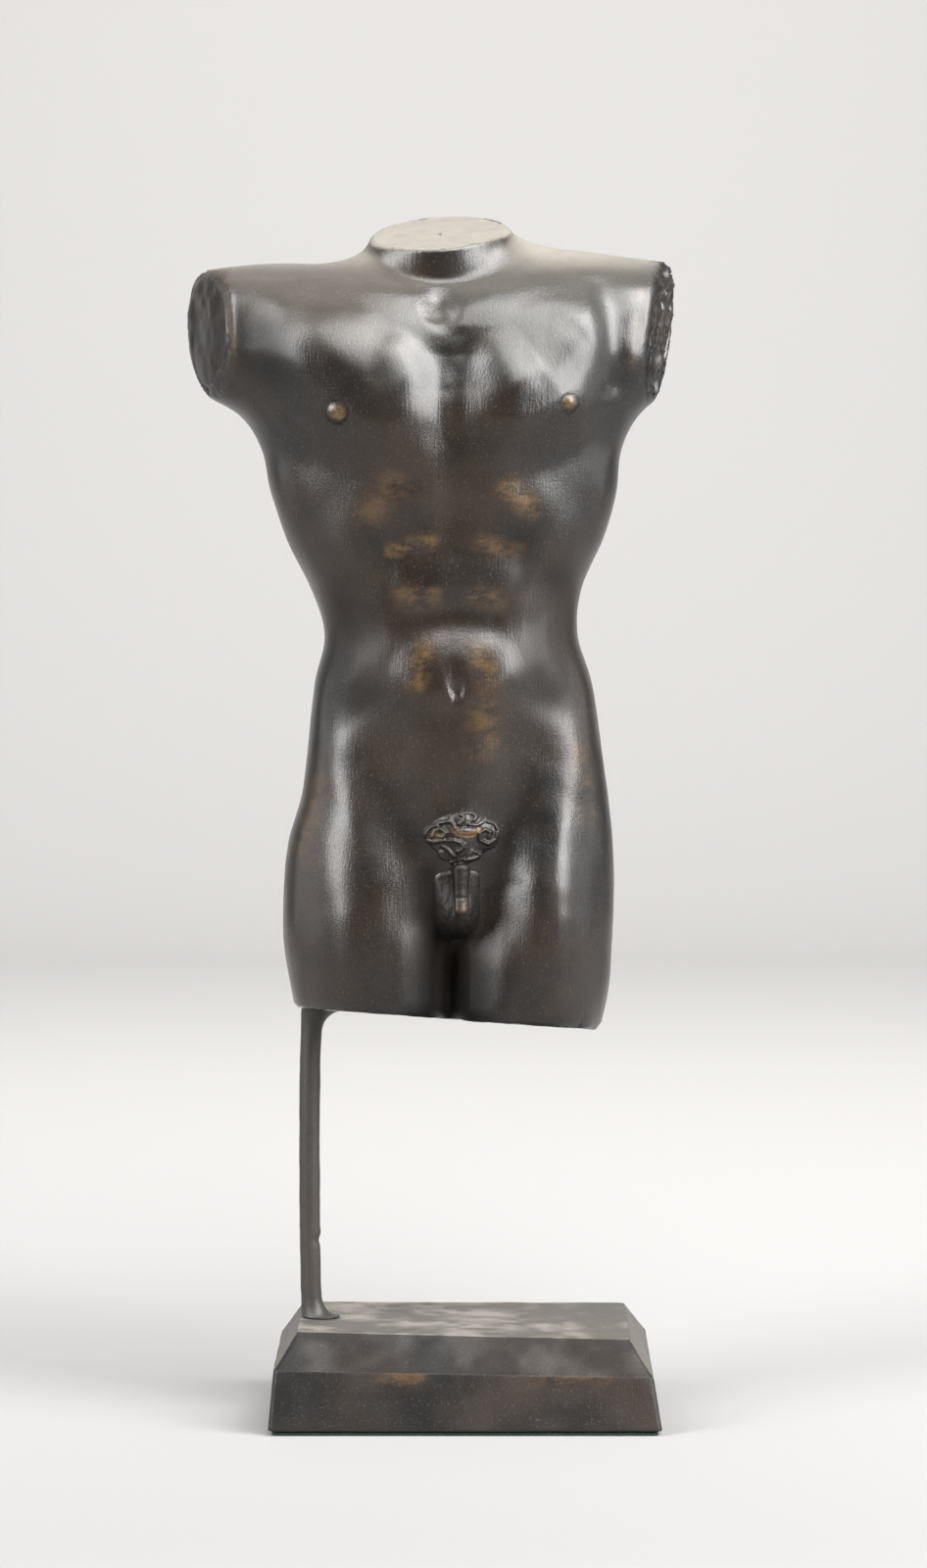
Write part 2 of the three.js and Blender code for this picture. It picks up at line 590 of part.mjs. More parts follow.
const sculpture = new THREE.Group();
sculpture.add(
  piece('torso', torsoGeometry(), bronze),
  piece('support_rod', rodGeometry(), bronze),
  piece('plinth', plinthGeometry(), bronze),
  piece('felt_pad', feltGeometry(), felt),
);

export default sculpture;
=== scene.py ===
# A cast bronze male torso on its rod and bevelled plinth, dressed over the frame
import math
import bpy
import numpy as np
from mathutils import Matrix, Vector


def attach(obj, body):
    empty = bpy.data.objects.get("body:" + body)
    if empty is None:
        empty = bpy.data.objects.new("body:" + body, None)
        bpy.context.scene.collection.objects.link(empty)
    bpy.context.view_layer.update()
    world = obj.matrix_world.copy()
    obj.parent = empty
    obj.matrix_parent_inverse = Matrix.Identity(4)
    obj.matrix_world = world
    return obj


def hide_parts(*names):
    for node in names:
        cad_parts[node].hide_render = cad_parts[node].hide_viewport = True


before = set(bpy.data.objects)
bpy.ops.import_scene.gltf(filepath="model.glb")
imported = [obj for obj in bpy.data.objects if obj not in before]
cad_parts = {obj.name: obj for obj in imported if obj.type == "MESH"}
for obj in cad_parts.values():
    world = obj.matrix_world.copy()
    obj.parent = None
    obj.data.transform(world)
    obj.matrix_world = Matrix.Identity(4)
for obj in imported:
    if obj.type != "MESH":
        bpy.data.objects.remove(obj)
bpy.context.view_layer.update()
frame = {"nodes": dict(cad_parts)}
print("frame loaded:", ", ".join(frame["nodes"]))

# Camera, in metres and degrees: a long lens, a little above the belly, tipped slightly down
cameraView = {"height": 0.51, "distance": 2.665, "downTilt": 4.046, "lens": 120.92, "sensor": 36}


def makeCamera(view):
    data = bpy.data.cameras.new("studioCamera")
    data.lens = view["lens"]
    data.sensor_width = view["sensor"]
    camera = bpy.data.objects.new("studioCamera", data)
    camera.location = (0, -view["distance"], view["height"])
    camera.rotation_euler = (math.radians(90 - view["downTilt"]), 0, 0)
    bpy.context.scene.collection.objects.link(camera)
    bpy.context.scene.camera = camera


makeCamera(cameraView)


def meshObject(name, points, faces):
    # points is an array of places in metres, faces a list of arrays of quads or of triangles
    mesh = bpy.data.meshes.new(name)
    mesh.from_pydata(points.tolist(), [], [corners for kind in faces for corners in kind.tolist()])
    mesh.update()
    mesh.polygons.foreach_set("use_smooth", np.ones(len(mesh.polygons), bool))
    item = bpy.data.objects.new(name, mesh)
    bpy.context.scene.collection.objects.link(item)
    return item


def newMaterial(name):
    material = bpy.data.materials.new(name)
    material.use_nodes = True
    return material, material.node_tree, material.node_tree.nodes["Principled BSDF"]


def feed(tree, socket, value):
    # A number or a color is set on the socket itself, another node's output is linked to it
    if isinstance(value, (int, float)):
        socket.default_value = value
    elif isinstance(value, tuple):
        socket.default_value = (*value, 1)
    else:
        tree.links.new(value, socket)


def mixColor(tree, factor, first, second):
    mix = tree.nodes.new("ShaderNodeMix")
    mix.data_type = "RGBA"
    colors = [s for s in mix.inputs if s.type == "RGBA"]
    for socket, value in zip([mix.inputs[0], *colors], (factor, first, second)):
        feed(tree, socket, value)
    return [s for s in mix.outputs if s.type == "RGBA"][0]


def mathNode(tree, operation, *values):
    node = tree.nodes.new("ShaderNodeMath")
    node.operation = operation
    for socket, value in zip(node.inputs, values):
        feed(tree, socket, value)
    return node.outputs[0]


def spread(tree, value, band, to=(0.0, 1.0)):
    # Values that cross the band rise smoothly from the first number of `to` to the second
    node = tree.nodes.new("ShaderNodeMapRange")
    node.interpolation_type = "SMOOTHSTEP"
    for name, number in zip(("From Min", "From Max", "To Min", "To Max"), (*band, *to)):
        node.inputs[name].default_value = number
    tree.links.new(value, node.inputs["Value"])
    return node.outputs["Result"]


def noiseAt(tree, place, scale, detail, stretch=(1, 1, 1), roughness=0.55, band=None, to=(0.0, 1.0)):
    # Noise on the piece's own coordinates, stretched and, where a band is given, spread over it
    mapping = tree.nodes.new("ShaderNodeMapping")
    mapping.inputs["Scale"].default_value = stretch
    tree.links.new(place, mapping.inputs["Vector"])
    noise = tree.nodes.new("ShaderNodeTexNoise")
    for name, number in (("Scale", scale), ("Detail", detail), ("Roughness", roughness)):
        noise.inputs[name].default_value = number
    tree.links.new(mapping.outputs["Vector"], noise.inputs["Vector"])
    return spread(tree, noise.outputs["Fac"], band, to) if band else noise.outputs["Fac"]


def addBump(tree, shader, height, strength, distance):
    node = tree.nodes.new("ShaderNodeBump")
    for name, value in (("Strength", strength), ("Distance", distance), ("Height", height)):
        feed(tree, node.inputs[name], value)
    tree.links.new(node.outputs["Normal"], shader.inputs["Normal"])


# Studio: a paper sweep, whose tone runs from shadedFloorColor at floorEnd to wallColor at wallStart, both
# along y, and a dim room. The floor's paper is painted darker than the wall's, as painted shade that keeps
# the floor from burning out under the lights. A tall box and a weak panel stand on each side, a large box
# hangs high in front and a weak one overhead, and the last light is for the paper behind
studio = {
    "wallColor": (0.5, 0.488, 0.479), "shadedFloorColor": (0.232, 0.227, 0.223), "floorEnd": -0.6,
    "wallStart": 1.7, "sweepWidth": 9.0, "sweepFront": -4.5, "sweepBack": 2.2, "sweepBend": 1.2,
    "bendSteps": 24, "sweepHeight": 5.0, "paperRoughness": 0.9, "paperShine": 0.15,
    "roomColor": (0.95, 0.96, 1.0), "roomStrength": 0.06,
}
softBoxes = {
    "leftBox": {"place": (-1.12, -0.76, 1.25), "aim": (0, 0, 0.8), "size": (0.7, 1.85), "power": 56,
                "spread": 180},
    "rightBox": {"place": (1.16, -0.72, 1.25), "aim": (0, 0, 0.8), "size": (0.84, 1.85), "power": 80,
                 "spread": 180},
    "leftPanel": {"place": (-1.8, 0.15, 0.75), "aim": (0, 0, 0.45), "size": (1.0, 1.4), "power": 7,
                  "spread": 170},
    "rightPanel": {"place": (1.8, 0.15, 0.75), "aim": (0, 0, 0.45), "size": (1.0, 1.4), "power": 7,
                   "spread": 170},
    "frontBox": {"place": (0.6, -1.5, 2.3), "aim": (0, 0, 0.5), "size": (1.6, 1.8), "power": 82,
                 "spread": 180},
    "topBox": {"place": (0.0, -0.5, 2.35), "aim": (0, 0, 0.3), "size": (1.6, 1.6), "power": 7,
               "spread": 180},
    "wallBox": {"place": (0.0, 1.0, 2.6), "aim": (0, 3.2, 1.2), "size": (3.0, 0.8), "power": 60,
                "spread": 180},
}


def makeSweep(settings):
    # The sweep's profile is a floor, a quarter circle and a wall, drawn out sideways
    bend, back, width = settings["sweepBend"], settings["sweepBack"], settings["sweepWidth"]
    turns = np.linspace(0, math.pi / 2, settings["bendSteps"])
    profileY = np.concatenate([[settings["sweepFront"]], back + bend * np.sin(turns), [back + bend]])
    profileZ = np.concatenate([[0.0], bend * (1 - np.cos(turns)), [settings["sweepHeight"]]])
    rows = len(profileY)
    points = np.array([np.stack([np.full(rows, x), profileY, profileZ], axis=1)
                       for x in (-width / 2, width / 2)]).reshape(-1, 3)
    low = np.arange(rows - 1)
    sweep = meshObject("studioSweep", points,
                       [np.stack([low, low + rows, low + rows + 1, low + 1], axis=1)])
    material, tree, shader = newMaterial("palePaper")
    parts = tree.nodes.new("ShaderNodeSeparateXYZ")
    tree.links.new(tree.nodes.new("ShaderNodeTexCoord").outputs["Object"], parts.inputs["Vector"])
    backward = spread(tree, parts.outputs["Y"], (settings["floorEnd"], settings["wallStart"]))
    tone = mixColor(tree, backward, settings["shadedFloorColor"], settings["wallColor"])
    tree.links.new(tone, shader.inputs["Base Color"])
    shader.inputs["Roughness"].default_value = settings["paperRoughness"]
    shader.inputs["Specular IOR Level"].default_value = settings["paperShine"]
    sweep.data.materials.append(material)


def lightRoom(settings, boxes):
    # A dim even world, and each light as an oblong turned towards its aim
    world = bpy.data.worlds.new("dimRoom")
    world.use_nodes = True
    background = world.node_tree.nodes["Background"]
    background.inputs["Color"].default_value = (*settings["roomColor"], 1)
    background.inputs["Strength"].default_value = settings["roomStrength"]
    bpy.context.scene.world = world
    bpy.context.scene.view_settings.view_transform = "Standard"
    for name, box in boxes.items():
        light = bpy.data.lights.new(name, "AREA")
        light.shape = "RECTANGLE"
        light.size, light.size_y = box["size"]
        light.energy = box["power"]
        light.spread = math.radians(box["spread"])
        lamp = bpy.data.objects.new(name, light)
        lamp.location = box["place"]
        lamp.rotation_euler = (Vector(box["aim"]) - lamp.location).to_track_quat("-Z", "Y").to_euler()
        bpy.context.scene.collection.objects.link(lamp)


makeSweep(studio)
lightRoom(studio, softBoxes)
print("camera and studio set")

# The figure, in metres and degrees. Where rows or columns stand closer is given as the middle in
# stations or radians, the width and how much closer; the unevenness of the cast as height, size of
# the bumps and seed. All the carving's numbers are hundredths of torsoHeight: x across, z up from
# the thigh cut, y from the front (minus) to the back
figure = {
    "torsoHeight": 0.4, "turn": 4.5, "base": 0.205, "columns": 416, "rows": 190, "capRows": 18,
    "capCurve": 0.9, "lowestStation": 0.45, "topStation": 22.0,
    "closerRows": [(3.8, 1.2, 1.2), (7, 0.7, 0.8), (13.3, 0.8, 0.8), (15.5, 1.6, 0.8), (21.4, 0.5, 0.5)],
    "closerColumns": [(0, 0.28, 1.0), (0, 1.0, 0.35)],
    "unevenness": [(0.07, 4.5, 11), (0.02, 1.6, 12)],
}


def level(z, left, right, front, back, square=2.4):
    # A station whose four rails are at one height
    return (left, z, right, z, front, z, back, z, square)


# Each station: left x, z; right x, z; front y, z; back y, z; squareness of the oval
stations = np.array([
    level(-8, -20.5, 15.5, -11.2, 10), level(1, -21.5, 18.1, -11.7, 10.4),
    level(9, -22.8, 18.9, -12, 11.2), level(16, -22.8, 19.1, -11.8, 12.6),
    level(22, -22.2, 18.9, -11.4, 13.9), level(28, -20.5, 18.3, -11.2, 13.4),
    level(35, -19.6, 17.3, -11.7, 11.2), level(42, -18.9, 16.2, -12, 9.0),
    level(48, -17.6, 14.4, -11.8, 8.0), level(54, -19.3, 14.9, -11.7, 8.4),
    level(60, -22.3, 17.6, -12.0, 9.8), level(66, -24.3, 19.3, -12.9, 11.4, 2.35),
    level(71.3, -25.4, 19.9, -13.7, 12.5, 2.3),
    (-28, 75.6, 22.2, 75.8, -14.1, 75.5, 13.2, 75.6, 2.1),
    (-33, 78.6, 26.2, 79, -14.0, 80, 13.6, 80, 1.9),
    (-41.5, 84, 33, 84, -13.4, 84, 13.6, 84, 1.72),
    (-43, 89, 34.5, 89.5, -12, 87.5, 13.2, 88, 1.72),
    (-37.5, 93, 31, 93.8, -10.2, 90.2, 12.6, 92, 1.8),
    (-26, 94.6, 18.5, 96, -8.9, 91.6, 11.7, 94.2, 1.95),
    (-18, 94.8, 11.5, 96.8, -8.2, 92.3, 10.6, 95.8, 2),
    (-14, 95.6, 7.4, 98, -8.0, 93.2, 9.3, 97.3, 2),
    (-12.1, 97.1, 5.7, 99.3, -8.2, 95, 8.1, 99, 2),
    (-11.4, 99.4, 5.2, 101.5, -8.4, 97.4, 7.4, 101.2, 2),
    (-11.2, 103, 5, 105, -8.5, 101.5, 7.1, 105, 2),
])

# Strokes along the skin: name, reach, rise at the path, share of the reach that is flat, and
# the path as x, z and sometimes a third number where the rise differs
frontCarving = [
    ("right breast", 10, 1.8, 0.1, [(-10.5, 76.8), (-15, 78.4), (-20, 83)]),
    ("left breast", 9.6, 2, 0.1, [(5, 77.2), (10, 79.2), (14.8, 84, 0.5)]),
    ("right breast lobe", 4, 0.4, 0, [(-9.4, 83), (-7.8, 81)]),
    ("left breast lobe", 4, 0.4, 0, [(3, 82.6), (5.2, 80.4)]),
    ("upper right breast", 7, 0.45, 0, [(-12, 89.5), (-16.5, 84)]),
    ("upper left breast", 7, 0.6, 0, [(4, 88), (10, 89.5), (13, 87)]),
    ("breastbone", 8, -1.15, 0.1,
     [(-2.2, 87, 0.3), (-2.4, 83.5, 0.9), (-2.6, 79), (-2.4, 73, 0.6), (-2.2, 66, 0.1)]),
    ("right arm hollow", 6.6, -0.7, 0, [(-25.6, 81), (-29.4, 80)]),
    ("left shoulder furrow", 3.2, -0.6, 0, [(17, 92, 0.4), (17.4, 86), (18.4, 80)]),
    ("right shoulder", 6, 0.7, 0, [(-24, 90.2), (-30, 90)]),
    ("left shoulder", 4.6, 0.35, 0, [(21.5, 90), (24, 88)]),
    ("right collar bone", 3.4, 0.25, 0, [(-7, 90.4), (-13, 91.6), (-20, 92.4)]),
    ("left collar bone", 3.4, 0.3, 0, [(-1.6, 88.6), (6, 92), (14, 93.4)]),
    ("pit of the neck", 3, -0.5, 0, [(-3.8, 90), (-3.6, 88.6)]),
    ("right side wall", 5.5, -0.2, 0, [(-22.5, 76), (-19.5, 71)]),
    ("left side wall", 4.2, -0.4, 0, [(17, 82), (16.6, 72)]),
    ("right rib edge", 5.4, 0.4, 0, [(-7, 69), (-12.5, 64.5), (-15.5, 60)]),
    ("left rib edge", 5.4, 0.4, 0, [(2, 69), (8, 64.5), (11.4, 60)]),
    ("pit of the stomach", 4.6, -0.4, 0, [(-2.4, 66), (-2.4, 63)]),
    ("over the belly", 6, 0.25, 0.1, [(-5, 69), (1, 69)]),
    ("upper belly", 5.6, 0.38, 0.4, [(-6.6, 63), (-2.2, 63.9), (2.6, 63)]),
    ("middle belly", 3.8, 0.34, 0.3, [(-7, 55.2), (-2, 55.8), (3.6, 55.2)]),
    ("lower crease", 3.6, -0.5, 0, [(-10.6, 49.6, 0.3), (-7, 50.2), (-2, 51), (3, 50.2), (6.6, 49.6, 0.3)]),
    ("belly shield top", 5.6, 0.48, 0.25, [(-5.2, 43.8), (1.6, 43.8)]),
    ("belly shield", 7.4, 0.35, 0.3, [(-2, 40), (-2, 34.5)]),
    ("middle line", 3.2, -0.1, 0, [(-2.2, 66), (-2, 46)]),
    ("navel", 1.8, -0.6, 0, [(-2, 44.2, 0.3), (-1.8, 41.6)]),
    ("right waist hollow", 6, -0.1, 0, [(-14.6, 43.5), (-12.8, 42.5)]),
    ("left waist hollow", 6, -0.1, 0, [(11, 43.5), (9.2, 42.5)]),
    ("right hip hollow", 8, -0.8, 0, [(-13.6, 38), (-11.5, 34)]),
    ("left hip hollow", 8, -0.7, 0, [(10, 38.5), (8.2, 34.5)]),
    ("pubic mound", 5, 0.3, 0, [(-1.3, 24), (-1.3, 20)]),
    ("right groin", 6, -1.0, 0,
     [(-12, 32, 0.3), (-8.8, 25), (-6.6, 19), (-5.6, 13, 0.9), (-4, 7, 0.5)]),
    ("left groin", 7, -1.5, 0,
     [(8.6, 32, 0.3), (5.2, 25), (3, 19), (2, 13, 0.9), (0, 7, 0.5)]),
    ("right outer thigh", 7.4, 0.8, 0,
     [(-13.8, 32, 0.2), (-14.4, 22, 0.9), (-14.8, 13, 1.7), (-14.6, 5, 1.5), (-14.6, -5)]),
    ("left inner thigh", 5.5, -0.85, 0.1, [(2.2, 22, 0.3), (2.6, 17, 1), (2.6, 11.5, 0.55), (2.2, 8, 0)]),
    ("left thigh ridge", 4.6, 0.5, 0.1, [(9.4, 25, 0.3), (9.6, 17, 1), (9.4, 9, 0.6)]),
    ("left outer thigh", 7, 0.8, 0,
     [(11.4, 33, 0.2), (11.6, 22, 0.9), (11.4, 13, 1.7), (11.2, 5, 1.5), (11, -5)]),
    ("between the thighs", 7.4, -3.2, 0, [(-1.4, 15, 0.3), (-1.6, 10, 0.8), (-2.1, 3), (-2.4, -6)]),
    ("thigh groove", 2.8, -2.4, 0, [(-2.1, 11, 0.4), (-2.4, 6), (-2.6, -6, 1.1)]),
]
backCarving = [
    ("spine", 3.8, -1.3, 0,
     [(-3.1, 92, 0.4), (-3, 84, 0.8), (-2.8, 72), (-2.2, 58, 1.2), (-2, 46, 1.1), (-2, 35, 0.5)]),
    ("right nape", 5, 0.6, 0, [(-6.5, 95), (-10, 90), (-5.5, 74, 0.5)]),
    ("left nape", 5, 0.6, 0, [(0.6, 96), (4, 90), (0, 74, 0.5)]),
    ("right shoulder blade", 5.6, 1.1, 0.15, [(-14, 85), (-14.6, 76.5)]),
    ("left shoulder blade", 5.6, 1.1, 0.15, [(8.4, 85), (9, 76.5)]),
    ("right blade edge", 3.8, -0.5, 0, [(-9.2, 84), (-10.5, 74), (-16, 70.5)]),
    ("left blade edge", 3.8, -0.5, 0, [(3.6, 84), (4.9, 74), (10.4, 70.5)]),
    ("right back of shoulder", 5.5, 0.6, 0, [(-21, 84), (-32, 88)]),
    ("left back of shoulder", 5.5, 0.6, 0, [(15.5, 84), (26, 88)]),
    ("right broad back", 6.2, 0.7, 0, [(-19.5, 72), (-14, 58)]),
    ("left broad back", 6.2, 0.7, 0, [(14, 72), (9.4, 58)]),
    ("right back cord", 4.4, 0.7, 0, [(-6, 64), (-5.4, 50), (-5.2, 39)]),
    ("left back cord", 4.4, 0.7, 0, [(1.2, 64), (1.2, 50), (1.2, 39)]),
    ("right hip furrow", 4, -0.45, 0, [(-17, 43), (-10, 37)]),
    ("left hip furrow", 4, -0.45, 0, [(13, 43), (6.4, 37)]),
    ("right dimple", 3.2, -0.5, 0, [(-6.4, 34.6), (-6, 34.2)]),
    ("left dimple", 3.2, -0.5, 0, [(2.4, 34.6), (2, 34.2)]),
    ("right buttock", 9, 2.4, 0.2, [(-11.4, 25), (-10.6, 19)]),
    ("left buttock", 9, 2.4, 0.2, [(7.6, 25), (6.8, 19)]),
    ("cleft", 3.4, -3, 0, [(-2, 32, 0.3), (-2, 26, 0.9), (-2, 13, 1.1)]),
    ("right fold", 3.6, -1, 0, [(-4.6, 11.2), (-10, 10.6), (-16.5, 13, 0.4)]),
    ("left fold", 3.6, -1, 0, [(0.8, 11.2), (6, 10.6), (12.4, 13, 0.4)]),
    ("right side hollow", 4.4, -0.7, 0, [(-20, 25), (-20.4, 19)]),
    ("left side hollow", 4.4, -0.7, 0, [(16.4, 25), (16.8, 19)]),
    ("right hamstring", 5, 0.7, 0, [(-9.6, 6), (-9.4, -6)]),
    ("left hamstring", 5, 0.7, 0, [(5.6, 6), (5.4, -6)]),
    ("between the thighs behind", 4.8, -4.4, 0, [(-2.1, 13, 0.5), (-2.3, 6, 0.9), (-2.6, -6, 1.1)]),
]


def octagon(x, z, radius, diagonal):
    # A closed path of eight corners around a place: its corners on the axes and on the diagonals
    return [(x + radius, z), (x + diagonal, z + diagonal), (x, z + radius), (x - diagonal, z + diagonal),
            (x - radius, z), (x - diagonal, z - diagonal), (x, z - radius), (x + diagonal, z - diagonal),
            (x + radius, z)]


# Finer strokes, too small for the frame's facets
fineFront = [
    ("right nipple", 1.5, 0.26, 0.45, [(-16.4, 76), (-16.4, 76.05)]),
    ("right nipple ring", 0.42, -0.07, 0, octagon(-16.4, 76, 1.5, 1.06)),
    ("left nipple", 1.25, 0.25, 0.45, [(11.9, 77.2), (11.9, 77.25)]),
    ("left nipple ring", 0.38, -0.07, 0, octagon(11.9, 77.2, 1.3, 0.92)),
    ("sawtooth ridge", 1.8, 0.12, 0, [(-24, 75.6), (-22.3, 73.6), (-20.5, 71.5)]),
    ("right navel lip", 0.55, 0.22, 0, [(-2.9, 41.3), (-2.6, 40.8)]),
    ("left navel lip", 0.5, 0.2, 0, [(-0.9, 41.5), (-0.8, 41.1)]),
    ("casting pit", 0.22, -0.5, 0.3, [(0.25, 34.2), (0.45, 34.35)]),
]


def smooth(low, high, x):
    # 0 below low, 1 above high, and a smooth rise between them
    w = np.clip((x - low) / (high - low), 0, 1)
    return w * w * (3 - 2 * w)


def bump(x, middle, width):
    # A bell curve of height 1
    return np.exp(-((x - middle) / width) ** 2)


def valueNoise(points, size, seed):
    # Smooth noise: random values at the corners of cubes of this size, blended across each cube.
    # Three large primes scatter the cubes' corners over the table of values
    tableSize, primes = 4096, (73856093, 19349663, 83492791)
    table = np.random.default_rng(seed).uniform(-1, 1, tableSize)
    base = np.floor(points / size).astype(np.int64)
    w = smooth(0, 1, points / size - base)
    total = np.zeros(len(points))
    for corner in range(8):
        shift = np.array([corner & 1, corner >> 1 & 1, corner >> 2 & 1])
        spot = (base + shift) * primes
        key = (spot[:, 0] ^ spot[:, 1] ^ spot[:, 2]) & (tableSize - 1)
        total += table[key] * np.prod(np.where(shift == 1, w, 1 - w), axis=1)
    return total


def layeredNoise(points, layers):
    # A sum of noises, each given as its height, the size of its bumps and its seed
    return sum(height * valueNoise(points, size, seed) for height, size, seed in layers)


def through(values, t):
    # A Catmull-Rom curve: each stretch between two values is a cubic that also heeds its neighbours
    ends = np.concatenate([[2 * values[0] - values[1]], values, [2 * values[-1] - values[-2]]])
    i = np.clip(np.floor(t).astype(int), 0, len(values) - 2)
    w = t - i
    a, b, c, d = ends[i], ends[i + 1], ends[i + 2], ends[i + 3]
    return 0.5 * (2 * b + (c - a) * w + (2 * a - 5 * b + 4 * c - d) * w ** 2
                  + (3 * b - a - 3 * c + d) * w ** 3)


def plainSkin(t, angle):
    # A squared oval through the four rails at station t; the oval's height runs from the front
    # and back rails' height at its middle to the side rails' height at its tips, as a square
    leftX, leftZ, rightX, rightZ, frontY, frontZ, backY, backZ, square = (
        through(stations[:, k], t) for k in range(stations.shape[1]))
    across, along = np.cos(angle), np.sin(angle)
    swell = (np.abs(across) ** square + np.abs(along) ** square) ** (-1 / square)
    x = (leftX + rightX) / 2 + (rightX - leftX) / 2 * across * swell
    y = np.where(along > 0, backY, -frontY) * along * swell
    innerZ = ((1 + along * swell) * backZ + (1 - along * swell) * frontZ) / 2
    sideZ = np.where(across > 0, rightZ, leftZ)
    z = innerZ + (sideZ - innerZ) * (across * swell) ** 2
    return np.stack([x, y, z], axis=-1)


def outwardSkin(t, angle, step=0.02):
    # The cross product of the skin's two directions, from small steps either way
    last = len(stations) - 1.0
    up = plainSkin(np.minimum(t + step, last), angle) - plainSkin(np.maximum(t - step, 0), angle)
    around = plainSkin(t, angle + step) - plainSkin(t, angle - step)
    outward = np.cross(around, up)
    return outward / np.linalg.norm(outward, axis=-1, keepdims=True)


def makeSkinSamples(rows=185, columns=120):
    # The plain skin at even steps, half a step off at its front and back
    t, angle = np.meshgrid(np.linspace(0, len(stations) - 1, rows),
                           (np.arange(columns) + 0.5) * 2 * math.pi / columns)
    return plainSkin(t.ravel(), angle.ravel())


skinSamples = makeSkinSamples()


def onSkin(path, side):
    # The path's points laid on the plain skin: y is that of the nearest sample on that side
    near = skinSamples[skinSamples[:, 1] * side > 0]
    far = (near[None, :, 0] - path[:, :1]) ** 2 + (near[None, :, 2] - path[:, 1:2]) ** 2
    return np.stack([path[:, 0], near[np.argmin(far, axis=1), 1], path[:, 1]], axis=1)


def strokeShare(points, stroke, side):
    # How strongly a stroke acts on each point: 1 on its path, falling smoothly to 0 at its reach;
    # side is -1 for the front and 1 for the back
    reach, flat, path = stroke[1], stroke[3], stroke[4]
    corners = onSkin(np.array([p[:2] for p in path], float), side)
    weights = np.array([p[2] if len(p) > 2 else 1.0 for p in path])
    low, high = corners.min(axis=0) - reach, corners.max(axis=0) + reach
    share = np.zeros(len(points))
    inside = np.flatnonzero(np.all((points > low) & (points < high), axis=1))
    near = points[inside]
    nearest = np.full(len(near), np.inf)
    weight = np.zeros(len(near))
    for start, end, startWeight, endWeight in zip(corners, corners[1:], weights, weights[1:]):
        span = end - start
        w = np.clip((near - start) @ span / (span @ span), 0, 1)
        far = np.linalg.norm(near - start - w[:, None] * span, axis=1)
        closer = far < nearest
        nearest = np.where(closer, far, nearest)
        weight = np.where(closer, startWeight + (endWeight - startWeight) * w, weight)
    share[inside] = weight * (1 - smooth(flat, 1, nearest / reach))
    return share


def carve(points, strokes, side):
    # The sum of the strokes' rises, as each acts on the points
    rise = np.zeros(len(points))
    for stroke in strokes:
        rise += stroke[2] * strokeShare(points, stroke, side)
    return rise


def strongest(points, strokes):
    # The greatest of the strokes' numbers at each point of the front
    return np.max([stroke[2] * strokeShare(points, stroke, -1) for stroke in strokes], axis=0)


def evenSteps(count, low, high, closer, fineness=4000):
    # Values from low to high that stand closer around some places: middle, width, how much closer
    fine = np.linspace(low, high, fineness)
    density = 1 + sum(more * bump(fine, middle, width) for middle, width, more in closer)
    total = np.concatenate([[0], np.cumsum((density[1:] + density[:-1]) / 2)])
    return np.interp(np.linspace(0, total[-1], count), total, fine)


def gridFaces(rows, columns):
    # Quads between neighbouring rings, and a fan from each end ring to its middle point
    ring = np.arange(columns)
    following = (ring + 1) % columns
    low = (np.arange(rows - 1) * columns)[:, None]
    quads = np.stack([low + ring, low + following, low + columns + following, low + columns + ring],
                     axis=-1).reshape(-1, 4)
    top = (rows - 1) * columns
    bottomFan = np.stack([np.full(columns, rows * columns), following, ring], axis=1)
    topFan = np.stack([np.full(columns, rows * columns + 1), top + ring, top + following], axis=1)
    return [quads, np.concatenate([bottomFan, topFan])]


def slope(degrees):
    return math.tan(math.radians(degrees))


def unitVector(*parts):
    return np.array(parts) / np.linalg.norm(parts)


# The four cuts: a point, the outward direction, the rounding of the edge, the lowest place that
# the cut reaches, and the noise on its face
cuts = {
    "thighs": {"point": (0, 0, -0.9), "outward": unitVector(-slope(4.7), -slope(5.7), -1),
               "rounding": 0.35, "lowest": -50, "noise": [(0.1, 3.0, 21), (0.05, 0.8, 22)]},
    "neck": {"point": (-3.1, 0, 98.75), "outward": unitVector(-slope(5), -slope(16), 1),
             "rounding": 0.28, "lowest": -50, "noise": [(0.1, 3.0, 21), (0.05, 0.8, 22)]},
    "rightStump": {"point": (-32.6, 0, 87), "outward": unitVector(-1, -slope(17), 0),
                   "rounding": 0.9, "lowest": 66, "noise": [(0.12, 1.5, 41)]},
    "leftStump": {"point": (25.2, 0, 87), "outward": unitVector(1, -slope(17), -slope(5)),
                  "rounding": 0.35, "lowest": 66, "noise": [(0.35, 0.9, 32), (0.2, 0.45, 33)]},
}
# The left stump's pits between sharp ridges, the right stump's slight dome, and the way that the
# relief of any cut face takes from its edge to its full height
stumps = {
    "edge": 0.6, "pitSize": 2.0, "pitStretch": (1, 1, 0.6), "pitSeed": 31, "pitDepth": 0.9,
    "domeRise": 0.3, "domeReach": 6,
}


def trim(points, outward, cut):
    # Brings everything beyond the cut back onto it. Towards the cut the skin tucks in along a
    # quarter circle, which rounds the edge. Gives back how far beyond the cut each point was
    away = (points - np.array(cut["point"])) @ cut["outward"]
    reached = points[:, 2] > cut["lowest"]
    turn = np.clip(1 + away / cut["rounding"], 0, 1) * reached
    points = points - outward * (cut["rounding"] * (1 - np.sqrt(1 - turn ** 2)))[:, None]
    beyond = np.maximum((points - np.array(cut["point"])) @ cut["outward"], 0) * reached
    return points - cut["outward"] * beyond[:, None], beyond


